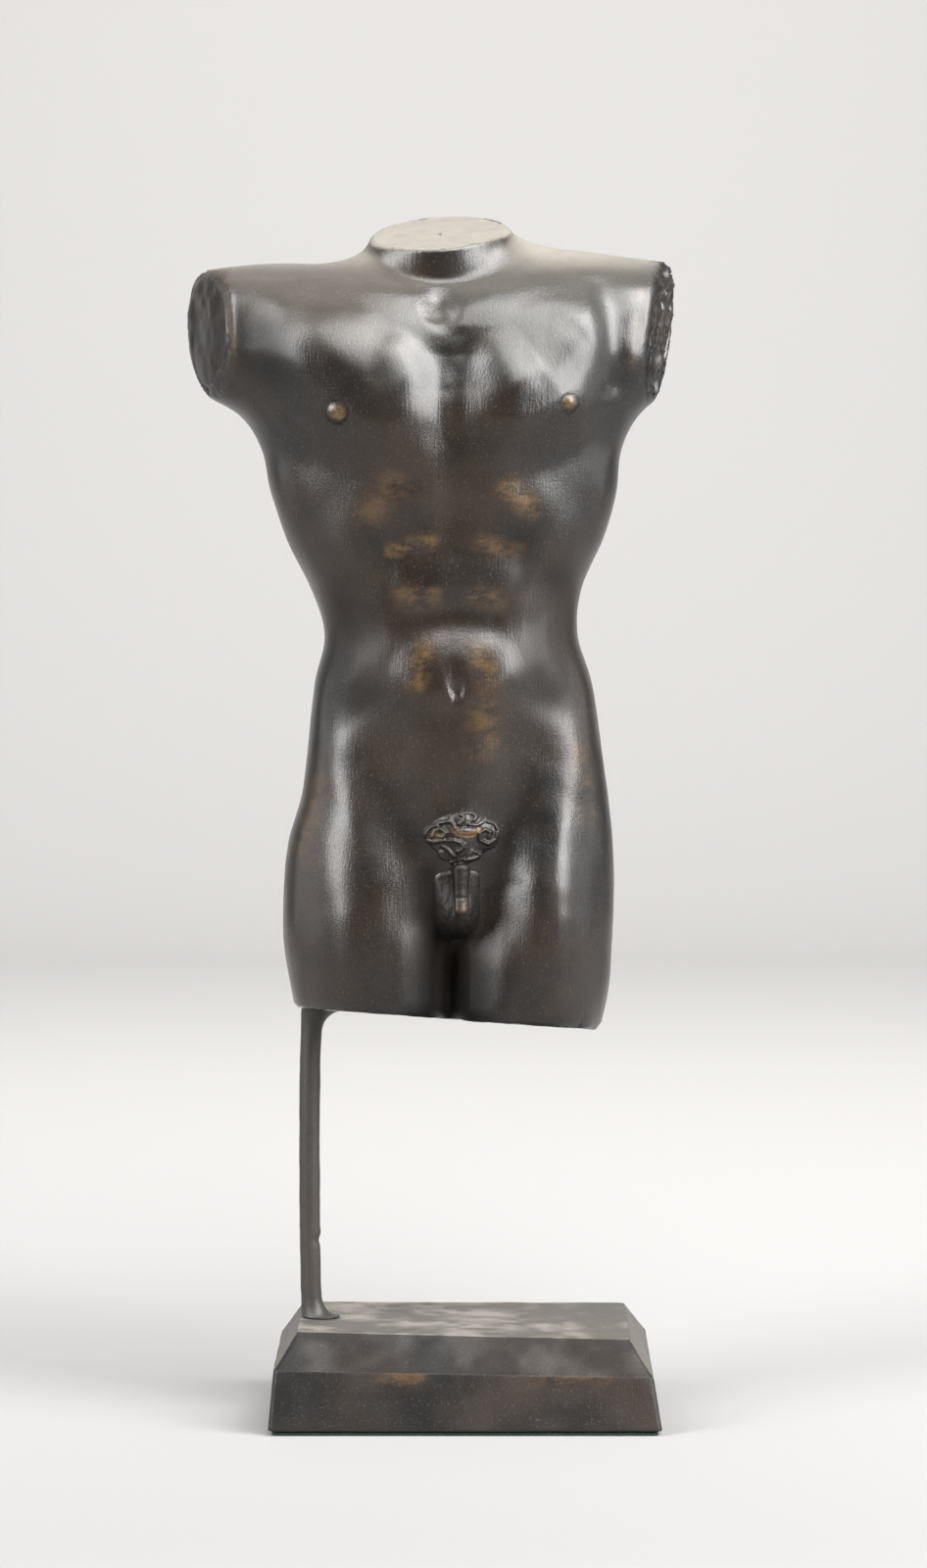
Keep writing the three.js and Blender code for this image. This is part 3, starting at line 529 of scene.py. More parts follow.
def faceRelief(name, skin, beyond):
    # The face's noise, on the stumps with squared ridges or a dome, rising from nothing at the edge
    relief = layeredNoise(skin, cuts[name]["noise"])
    if name == "leftStump":
        ridges = 1 - np.abs(valueNoise(skin * stumps["pitStretch"], stumps["pitSize"], stumps["pitSeed"]))
        relief += ridges ** 2 - stumps["pitDepth"]
    if name == "rightStump":
        relief += stumps["domeRise"] * smooth(0, stumps["domeReach"], beyond)
    return relief * smooth(0, stumps["edge"], beyond)


def toWorld(points):
    # Turns the figure about the upright, brings it to metres and lifts it over the plinth
    turn = math.radians(figure["turn"])
    x = points[:, 0] * math.cos(turn) - points[:, 1] * math.sin(turn)
    y = points[:, 0] * math.sin(turn) + points[:, 1] * math.cos(turn)
    unit = figure["torsoHeight"] / 100
    return np.stack([x * unit, y * unit, points[:, 2] * unit + figure["base"]], axis=1)


def skinGrid(t, angle):
    # The plain skin and its outward directions at every pair of a station and an angle
    gridT, gridAngle = (part.ravel() for part in np.meshgrid(t, angle, indexing="ij"))
    return plainSkin(gridT, gridAngle), outwardSkin(gridT, gridAngle)


def vertexArray(mesh, name):
    values = np.zeros(len(mesh.vertices) * 3)
    mesh.vertices.foreach_get(name, values)
    return values.reshape(-1, 3)


def addAttribute(item, name, values):
    layer = item.data.attributes.new(name, "FLOAT", "POINT")
    layer.data.foreach_set("value", np.asarray(values, np.float32))


def makeTorso():
    # The carved skin from the lowest to the top station, closed by flat rings that shrink to a
    # middle point at each end, and brought back onto the four cuts
    rows, columns, capRows = figure["rows"], figure["columns"], figure["capRows"]
    t = evenSteps(rows, figure["lowestStation"], figure["topStation"], figure["closerRows"])
    around = evenSteps(columns + 1, -math.pi, math.pi, figure["closerColumns"])[:-1]
    points, outward = skinGrid(t, around - math.pi / 2)
    rise = carve(points, frontCarving + fineFront, -1) + carve(points, backCarving, 1)
    rise += layeredNoise(points, figure["unevenness"])
    rings = (points + outward * rise[:, None]).reshape(rows, columns, 3)
    outwardRings = outward.reshape(rows, columns, 3)
    shares = (np.linspace(0, 1, capRows + 1)[1:-1] ** figure["capCurve"])[:, None, None]
    lowMiddle, topMiddle = rings[0].mean(axis=0), rings[-1].mean(axis=0)
    lowCap = lowMiddle + (rings[0] - lowMiddle) * shares
    topCap = topMiddle + (rings[-1] - topMiddle) * shares[::-1]
    allRings = np.concatenate([lowCap, rings, topCap])
    allOutward = np.concatenate([np.repeat(outwardRings[:1], capRows - 1, axis=0), outwardRings,
                                 np.repeat(outwardRings[-1:], capRows - 1, axis=0)])
    skin = np.concatenate([allRings.reshape(-1, 3), [lowMiddle, topMiddle]])
    normal = np.concatenate([allOutward.reshape(-1, 3), [outwardRings[0, 0], outwardRings[-1, 0]]])
    for name, cut in cuts.items():
        skin, beyond = trim(skin, normal, cut)
        skin = skin + cut["outward"] * faceRelief(name, skin, beyond)[:, None]
    item = meshObject("torsoCasting", toWorld(skin), gridFaces(rows + 2 * (capRows - 1), columns))
    addMasks(item, skin)
    return item


# Places where handling has rubbed the patina back to golden brown, as strokes
rubs = [
    ("left rib edge", 2.6, 1.0, 0, [(4.6, 66.6), (7.2, 64.6)]),
    ("right rib edge", 3.4, 0.45, 0, [(-9.6, 67.2), (-12.4, 64)]),
    ("upper crease right", 1.5, 0.9, 0, [(-10, 59), (-7.4, 59.7), (-5, 60)]),
    ("upper crease left", 1.5, 0.9, 0, [(1, 60.2), (3.4, 59.5), (6, 58.8)]),
    ("middle belly right", 2.2, 0.7, 0, [(-8.4, 53.4), (-5, 53.4)]),
    ("middle belly left", 2.2, 0.55, 0, [(0.6, 53.4), (3.4, 53)]),
    ("lower belly right", 2.2, 0.9, 0, [(-6, 46.6), (-6.6, 42.6)]),
    ("lower belly left", 2.6, 0.7, 0, [(1, 46.4), (2.2, 43.6)]),
    ("below the navel", 3.2, 0.5, 0, [(1.6, 40), (1.2, 35)]),
    ("left of the hip", 4.5, 0.3, 0, [(14, 33), (15, 26)]),
    ("right of the hip", 4.5, 0.3, 0, [(-19, 30), (-20.5, 22)]),
    ("scratch", 0.22, 1.6, 0.4, [(9.3, 15.2), (9.2, 13.8), (8.9, 12.6)]),
    ("thin scratch", 0.16, 1.0, 0.4, [(11.6, 14.2), (13.2, 14.7)]),
    ("low scratch", 0.16, 1.0, 0.4, [(12.6, 5.6), (14, 6.1)]),
    ("right seam", 1.0, 0.7, 0, [(-30.2, 92.4), (-29.4, 88), (-29.4, 83), (-29.9, 80.6)]),
    ("left seam", 0.9, 0.6, 0, [(21.6, 91), (20.6, 87), (20.4, 82)]),
]
# Painted shade: places whose color is darkened and whose wax is dulled to hold down highlights, on the right
# arm, the waist and the left of the belly, and in and beside the groove between the thighs, where there is
# dirt as well
paintedShadePlaces = [
    ("between the thighs", 7.5, 1.3, 0.2, [(-2.1, 9), (-2.6, -2)]),
    ("right of the loins", 3.4, 1, 0.1, [(-5.6, 18.5), (-5.4, 13), (-3.6, 9.6)]),
    ("left of the loins", 3.4, 1, 0.1, [(3, 20), (1.9, 14), (0.4, 9.6)]),
    ("right arm", 6.5, 0.6, 0.1, [(-26.4, 85.5), (-24.5, 83)]),
    ("right waist", 7.5, 0.6, 0.2, [(-14.6, 51), (-14.4, 42)]),
    ("left waist", 7, 0.6, 0.2, [(10.2, 53), (10.4, 43)]),
    ("left of the belly", 4, 0.6, 0.1, [(6, 60), (6.4, 55)]),
]
# Nipples: middle x, z and radius of the golden dome inside its dark ring
nipples = [(-16.75, 76.2, 1.2), (12.1, 77.3, 1.0)]
# How much of each mask, and between which heights or slants it rises. farOff keeps the nipples'
# masks off the back
masks = {
    "nippleGold": 1.28, "domeEdge": (1.0, 0.7), "ringDirt": 0.8, "ringAt": 1.15, "ringWidth": 0.16,
    "lookingUp": (0.35, 0.95), "shoulderDust": 0.3, "shoulders": (86, 92), "neckDust": 0.7,
    "neck": (93, 96.5), "sheenFilm": 0.08, "filmSlant": (0, 0.5), "filmHeight": (72, 84),
    "grooveDirtAndShade": 0.95, "grooveX": -2.3, "grooveWidth": 1.5, "grooveTop": (14, 10), "farOff": 9,
}


def addMasks(item, skin):
    # rub: worn golden places; dustAndSheen: pale dust on what looks up, most of it on the neck, and a faint
    # pale film on the upper chest that is painted sheen; dullAndShade: painted shade in the painted shade
    # places and in the groove between the thighs, which also has dirt, and dark dirt in the rings around the
    # nipples
    x, y, z = skin.T
    upright = vertexArray(item.data, "normal")[:, 2]
    rub = strongest(skin, rubs)
    dullAndShade = strongest(skin, paintedShadePlaces)
    for middleX, middleZ, radius in nipples:
        far = np.hypot(x - middleX, z - middleZ) / radius + masks["farOff"] * (y > 0)
        rub = np.maximum(rub, masks["nippleGold"] * smooth(*masks["domeEdge"], far))
        dullAndShade = np.maximum(dullAndShade, masks["ringDirt"] * bump(far, masks["ringAt"], masks["ringWidth"]))
    # The groove between the thighs is darkened and dulled: dirt and painted shade
    groove = bump(x, masks["grooveX"], masks["grooveWidth"]) * smooth(*masks["grooveTop"], z) * (y < 0)
    dullAndShade = np.maximum(dullAndShade, masks["grooveDirtAndShade"] * groove)
    high = (masks["shoulderDust"] * smooth(*masks["shoulders"], z)
            + masks["neckDust"] * smooth(*masks["neck"], z))
    # A faint pale film on the up-facing upper chest, in the dust's color: painted sheen that brightens the
    # chest as the lights do
    sheenFilm = masks["sheenFilm"] * smooth(*masks["filmSlant"], upright) * smooth(*masks["filmHeight"], z)
    addAttribute(item, "rub", rub)
    addAttribute(item, "dustAndSheen", np.maximum(smooth(*masks["lookingUp"], upright) * high, sheenFilm))
    addAttribute(item, "dullAndShade", np.clip(dullAndShade, 0, 1))


# dustAndSheenColor is that of dust and of the painted sheen on the upper chest; dirtAndShadeColor darkens
# both dirt and painted shade
patina = {
    "dark": (0.0058, 0.0047, 0.0039), "brown": (0.0165, 0.0107, 0.0072), "gold": (0.125, 0.07, 0.026),
    "dustAndSheenColor": (0.2, 0.185, 0.157), "speckColor": (0.085, 0.072, 0.058), "metallic": 0.2,
    "gloss": 0.26, "matt": 0.36, "coat": 0.25, "coatGloss": 0.26, "dirtAndShadeColor": (0.004, 0.0034, 0.003),
}
# The plinth and the rod are drier: browner, duller and dusty all over
dryPatina = {
    "dark": (0.0062, 0.005, 0.0042), "brown": (0.0165, 0.0102, 0.0068), "gold": (0.16, 0.088, 0.034),
    "dustAndSheenColor": (0.205, 0.187, 0.164), "speckColor": (0.1, 0.09, 0.078), "metallic": 0.15,
    "gloss": 0.4, "matt": 0.58, "coat": 0.05, "coatGloss": 0.4, "dirtAndShadeColor": (0.004, 0.0034, 0.003),
}
# The noises in both patinas. The values inside a band count, spread from 0 to 1 or over `to`
patinaNoises = {
    "clouds": {"scale": 14, "detail": 5, "band": (0.38, 0.66)},
    "streaks": {"scale": 60, "detail": 3, "stretch": (16, 16, 0.9)},
    "wear": {"scale": 85, "detail": 7, "stretch": (1, 1, 1.8), "roughness": 0.7, "band": (0.36, 0.64),
             "to": (0.0, 0.8)},
    "specks": {"scale": 1000, "detail": 2, "band": (0.58, 0.74)},
    "dusting": {"scale": 130, "detail": 8, "roughness": 0.7, "band": (0.3, 0.6), "to": (0.86, 1.0)},
    "sheen": {"scale": 30, "detail": 4, "band": (0.3, 0.7)},
    "grain": {"scale": 900, "detail": 3},
}
# How strongly each layer shows, in color, in roughness and in relief
layerStrength = {
    "specks": 0.35, "mostGold": 0.85, "dirtAndShade": 0.75, "dustyRoughness": 0.4, "dullRoughness": 0.3,
    "shine": 0.42, "leastShine": 0.08, "grain": 0.5, "streaks": 0.6, "bump": 0.55, "bumpDistance": 0.0004,
}


def bronzeMaterial(name, look):
    # Dark waxed patina: cloudy brown over black, pale specks, golden rubs, dust with painted sheen, dirt
    # with painted shade, brush marks
    material, tree, shader = newMaterial(name)
    place = tree.nodes.new("ShaderNodeTexCoord").outputs["Object"]
    strength = layerStrength
    mask = {}
    for key in ("rub", "dustAndSheen", "dullAndShade"):
        node = tree.nodes.new("ShaderNodeAttribute")
        node.attribute_name = key
        mask[key] = node.outputs["Fac"]
    noises = {**patinaNoises, "sheen": {**patinaNoises["sheen"], "to": (look["gloss"], look["matt"])}}
    noise = {key: noiseAt(tree, place, **values) for key, values in noises.items()}

    def times(first, second):
        return mathNode(tree, "MULTIPLY", first, second)

    gold = mathNode(tree, "MAXIMUM", times(mask["rub"], noise["wear"]),
                    mathNode(tree, "SUBTRACT", mask["rub"], 1.0))
    dustAndSheen = times(mask["dustAndSheen"], noise["dusting"])
    color = mixColor(tree, noise["clouds"], look["dark"], look["brown"])
    color = mixColor(tree, times(noise["specks"], strength["specks"]), color, look["speckColor"])
    color = mixColor(tree, mathNode(tree, "MINIMUM", gold, strength["mostGold"]), color, look["gold"])
    # Dust, and on the upper chest a painted sheen
    color = mixColor(tree, dustAndSheen, color, look["dustAndSheenColor"])
    # Dirt and painted shade: darker where the dullAndShade mask is
    color = mixColor(tree, times(mask["dullAndShade"], strength["dirtAndShade"]), color, look["dirtAndShadeColor"])
    roughness = mathNode(tree, "ADD", noise["sheen"], times(dustAndSheen, strength["dustyRoughness"]))
    roughness = mathNode(tree, "ADD", roughness, times(mask["dullAndShade"], strength["dullRoughness"]))
    waxed = mathNode(tree, "SUBTRACT", 1.0, mask["dullAndShade"])
    shine = mathNode(tree, "MULTIPLY_ADD", waxed, strength["shine"], strength["leastShine"])
    for socket, value in (("Base Color", color), ("Roughness", roughness),
                          ("Coat Weight", times(waxed, look["coat"])), ("Specular IOR Level", shine),
                          ("Metallic", look["metallic"]), ("Coat Roughness", look["coatGloss"])):
        feed(tree, shader.inputs[socket], value)
    relief = mathNode(tree, "ADD", times(noise["grain"], strength["grain"]),
                      times(noise["streaks"], strength["streaks"]))
    addBump(tree, shader, relief, strength["bump"], strength["bumpDistance"])
    return material


def finish(item, node, material):
    item.data.materials.append(material)
    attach(item, "root")
    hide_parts(node)


bronze = bronzeMaterial("waxedBronze", patina)
torso = makeTorso()
finish(torso, "torso", bronze)
print("torso made:", len(torso.data.polygons), "faces")

# The hair's lobes: middle x, z, half width, half height, rise
hairLobes = [
    (-4.3, 23.75, 1.75, 1.2, 0.75), (-1.2, 25.2, 1.7, 1.35, 0.6), (2.0, 23.4, 1.85, 1.95, 0.75),
    (-1.9, 22.2, 1.35, 1.15, 0.6), (0.1, 21, 1.4, 0.95, 0.5), (-3.1, 21.4, 1.1, 1.1, 0.4),
    (-1.3, 20.3, 1.1, 0.8, 0.4), (-0.5, 24, 1.85, 0.72, 0.95),
]
# The locks that stand on them, as paths of x, z
hairLocks = [
    [(-5.9, 23.2), (-5.2, 24.4), (-3.9, 25.1), (-2.9, 25.3)],
    [(-4.9, 23.3), (-4.6, 24.1), (-3.8, 24.4), (-3.2, 23.9), (-3.5, 23.3), (-4, 23.4)],
    [(-5.6, 22.75), (-4.6, 22.6), (-3.4, 22.9)],
    [(-2.6, 26), (-2.5, 25.2), (-2.0, 24.5)],
    [(-1.4, 26.2), (-0.9, 25.9), (-1.0, 25.4), (-1.4, 25.0)],
    [(-0.6, 26.45), (0.3, 26.3), (0.7, 25.8), (0.4, 25.4)],
    [(-0.2, 24.9), (0.8, 24.75), (1.7, 25.3), (2.4, 26)],
    [(2.2, 25.2), (3.1, 24.9), (3.5, 24.0), (3.2, 22.9), (2.2, 22.3), (1.2, 22.8), (1.1, 23.7),
     (1.8, 24.2), (2.5, 23.8), (2.3, 23.2)],
    [(-2.9, 22.9), (-2.2, 22.9), (-1.3, 22.6), (-0.9, 22.0), (-1.6, 21.5)],
    [(-0.9, 20.5), (0.2, 21.5), (1.3, 21.1)],
    [(-0.6, 20.3), (0.5, 20.5), (1.3, 20.9)],
    [(-3.6, 22.2), (-2.9, 21.7), (-2.2, 20.9)],
]
hairBeads = [(-3.9, 21.9), (-3.65, 21.4), (-3.3, 20.95), (-2.9, 20.5), (-2.45, 20.15), (-2, 19.85),
             (-1.5, 19.65), (-1, 19.55), (-0.5, 19.7)]
goldenLock = [(-2.2, 24.3), (-1.6, 23.8), (-0.7, 23.55), (0.2, 23.65), (0.9, 24.1)]
loinGrooves = ("between the thighs", "thigh groove", "right groin", "left groin")
# The hair's mound, which narrows downwards, the lobes, locks and beads on it, and its golden places
hair = {
    "middle": (-1.15, 23), "half": (4.9, 3.5), "taper": 0.5, "taperFrom": 23.5, "rise": 0.8,
    "fullness": 0.8, "lobeLift": 0.15, "lockHalfWidth": 0.3, "lockRise": 0.26, "lockGround": 0.1,
    "lockGold": 0.12, "beadRadius": 0.06 ** 0.5, "beadRise": 0.42, "gold": 1.1, "goldEdge": (0.5, 0.25),
    "spotMiddle": (-4.6, 23.5), "spotHalf": (1.3, 0.9), "spotGold": 0.6, "spotEdge": (0.2, 0.8),
}
# The scrotum: round above and below a straight stretch, and wrinkled
bag = {
    "x": -1.6, "top": 18, "bottom": 13.6, "topCurve": 1.3, "bottomCurve": 0.85, "radius": 3.0,
    "rise": 1.6, "fullness": 0.6, "fade": (20, 13.5), "wrinkle": (0.09, 0.55, 53),
    "wrinkleStretch": (1.6, 0, 0.7),
}
# The penis: thinner and standing out more towards its lower end, with one furrow
shaft = {
    "x": -1.25, "lean": -0.1, "from": 19.6, "length": 5.6, "top": 19.2, "bottom": 14.2, "tip": 0.85,
    "halfWidth": 1.28, "thinning": 0.25, "rise": 0.6, "riseMore": 0.75, "roundness": 1.15,
    "furrow": 0.1, "furrowZ": 15.7, "furrowWidth": 0.2, "gold": 0.5, "goldHeight": (17.2, 14.4),
}


def nearPath(x, z, path):
    # Distance to the nearest stretch of the path
    nearest = np.full(len(x), np.inf)
    for (startX, startZ), (endX, endZ) in zip(path, path[1:]):
        spanX, spanZ = endX - startX, endZ - startZ
        w = np.clip(((x - startX) * spanX + (z - startZ) * spanZ) / (spanX ** 2 + spanZ ** 2), 0, 1)
        nearest = np.minimum(nearest, np.hypot(x - startX - w * spanX, z - startZ - w * spanZ))
    return nearest


def inOval(x, z, middle, half):
    # 1 in the middle of an oval, falling as a square to 0 on its edge and on below it
    return 1 - ((x - middle[0]) / half[0]) ** 2 - ((z - middle[1]) / half[1]) ** 2


def hairRelief(x, z):
    # The higher of the mound and the lobes, with the locks as round ridges on them and the beads as
    # half balls. Gives back the height over the skin and how golden each place is
    half = (hair["half"][0] - hair["taper"] * np.maximum(hair["taperFrom"] - z, 0), hair["half"][1])
    height = hair["rise"] * np.clip(inOval(x, z, hair["middle"], half), 0, 1) ** hair["fullness"]
    golden = np.zeros(len(x))
    for lobeX, lobeZ, wide, tall, rise in hairLobes:
        dome = np.sqrt(np.clip(inOval(x, z, (lobeX, lobeZ), (wide, tall)), 0, 1))
        height = np.maximum(height, (rise + hair["lobeLift"]) * dome ** hair["fullness"])
    for path in hairLocks:
        ridge = np.clip(1 - (nearPath(x, z, path) / hair["lockHalfWidth"]) ** 2, 0, 1)
        height = height + hair["lockRise"] * ridge * (height > 0.02) + hair["lockGround"] * ridge
        golden = np.maximum(golden, hair["lockGold"] * ridge)
    for middle in hairBeads:
        bead = np.sqrt(np.clip(inOval(x, z, middle, (hair["beadRadius"], hair["beadRadius"])), 0, 1))
        height = np.maximum(height, hair["beadRise"] * bead)
    crescent = smooth(*hair["goldEdge"], nearPath(x, z, goldenLock))
    spot = smooth(*hair["spotEdge"], inOval(x, z, hair["spotMiddle"], hair["spotHalf"]))
    return height, np.maximum.reduce([golden, hair["gold"] * crescent, hair["spotGold"] * spot])


def bagRelief(x, z, gap):
    # A flattened dome over the distance from a short upright line, which fades out at its top
    above, below = (z - bag["top"]) * bag["topCurve"], np.minimum(z - bag["bottom"], 0) * bag["bottomCurve"]
    far = np.hypot(x - bag["x"], np.where(z > bag["top"], above, below)) / bag["radius"]
    height, size, seed = bag["wrinkle"]
    places = np.stack([x, 0 * x, z], axis=1) * bag["wrinkleStretch"]
    wrinkles = height * valueNoise(places, size, seed)
    dome = np.clip(1 - far ** 2, 0, 1) ** bag["fullness"]
    return (bag["rise"] + gap + bag["rise"] * wrinkles) * dome * smooth(*bag["fade"], z)


def shaftRelief(x, z, gap):
    # A half round bar on a soft-edged base, with rounded ends. Gives back its height and its gold
    along = np.clip((shaft["from"] - z) / shaft["length"], 0, 1)
    middle = shaft["x"] + shaft["lean"] * along
    beyond = np.maximum(shaft["bottom"] - z, 0) + np.maximum(z - shaft["top"], 0)
    halfWidth = shaft["halfWidth"] - shaft["thinning"] * along
    inside = 1 - ((x - middle) / halfWidth) ** 2 - (beyond / shaft["tip"]) ** 2
    height = ((shaft["rise"] + gap + shaft["riseMore"] * along) * smooth(0, 0.5, inside)
              + shaft["roundness"] * np.sqrt(np.clip(inside, 0, 1)))
    furrow = shaft["furrow"] * bump(z, shaft["furrowZ"], shaft["furrowWidth"]) * smooth(0.1, 0.5, inside)
    return height - furrow, shaft["gold"] * smooth(0.1, 0.6, inside) * smooth(*shaft["goldHeight"], z)


def sheetFaces(rows, columns):
    # The quads of a sheet, of a second one behind it that faces back, and of the strip between them
    cell = np.arange(rows * columns).reshape(rows, columns)
    front = np.stack([part.ravel() for part in (cell[:-1, :-1], cell[:-1, 1:], cell[1:, 1:], cell[1:, :-1])],
                     axis=1)
    back = front[:, ::-1] + rows * columns
    edge = np.concatenate([cell[0, :-1], cell[:-1, -1], cell[-1, :0:-1], cell[:0:-1, 0]])
    following = np.roll(edge, -1)
    side = np.stack([following, edge, edge + rows * columns, following + rows * columns], axis=1)
    return [np.concatenate([front, back, side])]


# The sheet that carries the hair, scrotum and penis: its part of the skin, how far it lies under the skin
# where there is no form, how thick it is, its grain, and its painted shade below and above parting
loinSheet = {
    "rows": 260, "columns": 170, "stations": (1.95, 4.9), "angles": (-0.37, 0.34), "sunk": 0.16,
    "thickness": 0.8, "formEdge": (0.05, 0.3), "grain": (0.03, 0.35, 51), "parting": 19.5,
    "paintedShadeBelow": 0.8, "paintedShadeAbove": 0.22,
}


def makeLoinSheet(size):
    # The same skin and carving as the torso's, plus the highest of the small forms. gap is how
    # deep the grooves beside them lie there, which scrotum and penis fill up
    points, outward = skinGrid(np.linspace(*size["stations"], size["rows"]),
                               np.linspace(*size["angles"], size["columns"]) - math.pi / 2)
    rise = carve(points, frontCarving + fineFront, -1) + layeredNoise(points, figure["unevenness"])
    gap = -carve(points, [stroke for stroke in frontCarving if stroke[0] in loinGrooves], -1)
    skin = points + outward * rise[:, None]
    x, z = skin[:, 0], skin[:, 2]
    hairHeight, hairGold = hairRelief(x, z)
    shaftHeight, shaftGold = shaftRelief(x, z, gap)
    height = np.maximum.reduce([hairHeight, bagRelief(x, z, gap), shaftHeight])
    golden = np.maximum(hairGold, shaftGold)
    high = smooth(*size["formEdge"], height)
    height = height + layeredNoise(skin, [size["grain"]]) * high - size["sunk"] * (1 - high)
    sheet = np.concatenate([skin + outward * height[:, None], skin - outward * size["thickness"]])
    item = meshObject("loinRelief", toWorld(sheet), sheetFaces(size["rows"], size["columns"]))
    # Painted shade on the forms, heavier on the scrotum and penis below the parting; it also dulls their wax
    dirtAndShade = np.where(z < size["parting"], size["paintedShadeBelow"], size["paintedShadeAbove"])
    none = np.zeros(len(x))
    addAttribute(item, "rub", np.concatenate([golden, none]))
    addAttribute(item, "dullAndShade", np.concatenate([dirtAndShade * high * (1 - np.clip(golden, 0, 1)), none]))
    return item


# The plinth with its felt, in metres, as in the frame, with the lift of the corners of its top
# and of its edge: front left, front right, back left, back right
plinthSize = {
    "height": 0.0479, "edgeHeight": 0.0314, "topHalf": (0.08415, 0.05135), "edgeHalf": (0.09535, 0.06505),
    "baseHalf": (0.09875, 0.06845), "baseShift": 0.0008, "cornerRadius": 0.003, "base": 0.0021,
    "edgeRounding": 0.0009, "topUneven": (0.0020, -0.0019, 0.0002, -0.0003),
    "edgeUneven": (0.0016, -0.0018, -0.0004, 0.0004), "feltTop": 0.0018, "feltRounding": 0.0002,
    "feltHalf": (0.09655, 0.06625), "wear": [(0.00022, 0.02, 61), (0.0001, 0.005, 62)], "worn": 0.00032,
    "blotches": [(1, 0.018, 63), (0.6, 0.006, 64)], "rubNoise": [(1, 0.03, 65)],
}
# The plinth's masks: dust on its top, its bevel and the bevel's ends, dirt on the bevel, and a
# golden line along the front edge
plinthMasks = {
    "topDust": 0.28, "topBlotches": 0.5, "bevelDust": 0.04, "endDust": 0.4, "bevelDirt": 0.55,
    "cleanBlotches": 0.3, "edgeGold": 0.5, "edgeDrop": 0.002, "edgeWidth": 0.0045,
    "flat": (0.75, 0.99), "slanted": (0.3, 0.55), "upright": (0.6, 0.2), "endwise": (0.5, 0.8),
}


def uneven(corners, half, x, y):
    # Blends the lift of the four corners over the plinth
    right, back = (1 + x / half[0]) / 2, (1 + y / half[1]) / 2
    front = corners[0] * (1 - right) + corners[1] * right
    rear = corners[2] * (1 - right) + corners[3] * right
    return front * (1 - back) + rear * back


def roundedRing(half, radius, corner=8, length=44, depth=32):
    # A rectangle with round corners: each quarter circle, then the straight run to the next one,
    # from the front right corner round
    x, y = [], []
    middleX, middleY = half[0] - radius, half[1] - radius
    signs = [(1, -1), (1, 1), (-1, 1), (-1, -1)]
    for k, count in enumerate((depth, length, depth, length)):
        turn = np.radians(90 * k - 90 + np.linspace(0, 90, corner))
        x.append(signs[k][0] * middleX + radius * np.cos(turn))
        y.append(signs[k][1] * middleY + radius * np.sin(turn))
        nextX, nextY = signs[(k + 1) % 4]
        share = np.linspace(0, 1, count + 2)[1:-1]
        x.append(x[-1][-1] + (nextX * middleX + radius * np.cos(turn[-1]) - x[-1][-1]) * share)
        y.append(y[-1][-1] + (nextY * middleY + radius * np.sin(turn[-1]) - y[-1][-1]) * share)
    return np.concatenate(x), np.concatenate(y)


def ringsObject(name, rings):
    # Closes a stack of rings from the bottom up with a middle point at each end
    rings = np.array(rings)
    points = np.concatenate([rings.reshape(-1, 3), [rings[0].mean(axis=0), rings[-1].mean(axis=0)]])
    return meshObject(name, points, gridFaces(len(rings), rings.shape[1]))


def blendRings(keys, counts):
    # Even steps from each ring to the next, as many as its count
    rings = []
    for first, second, count in zip(keys, keys[1:], counts):
        rings += [first + (second - first) * w for w in np.linspace(0, 1, count + 1)[:-1]]
    return rings + [keys[-1]]


def topHeight(x, y):
    # The height of the plinth's top over a place in the room
    return plinthSize["height"] + uneven(plinthSize["topUneven"], plinthSize["topHalf"], x, y)


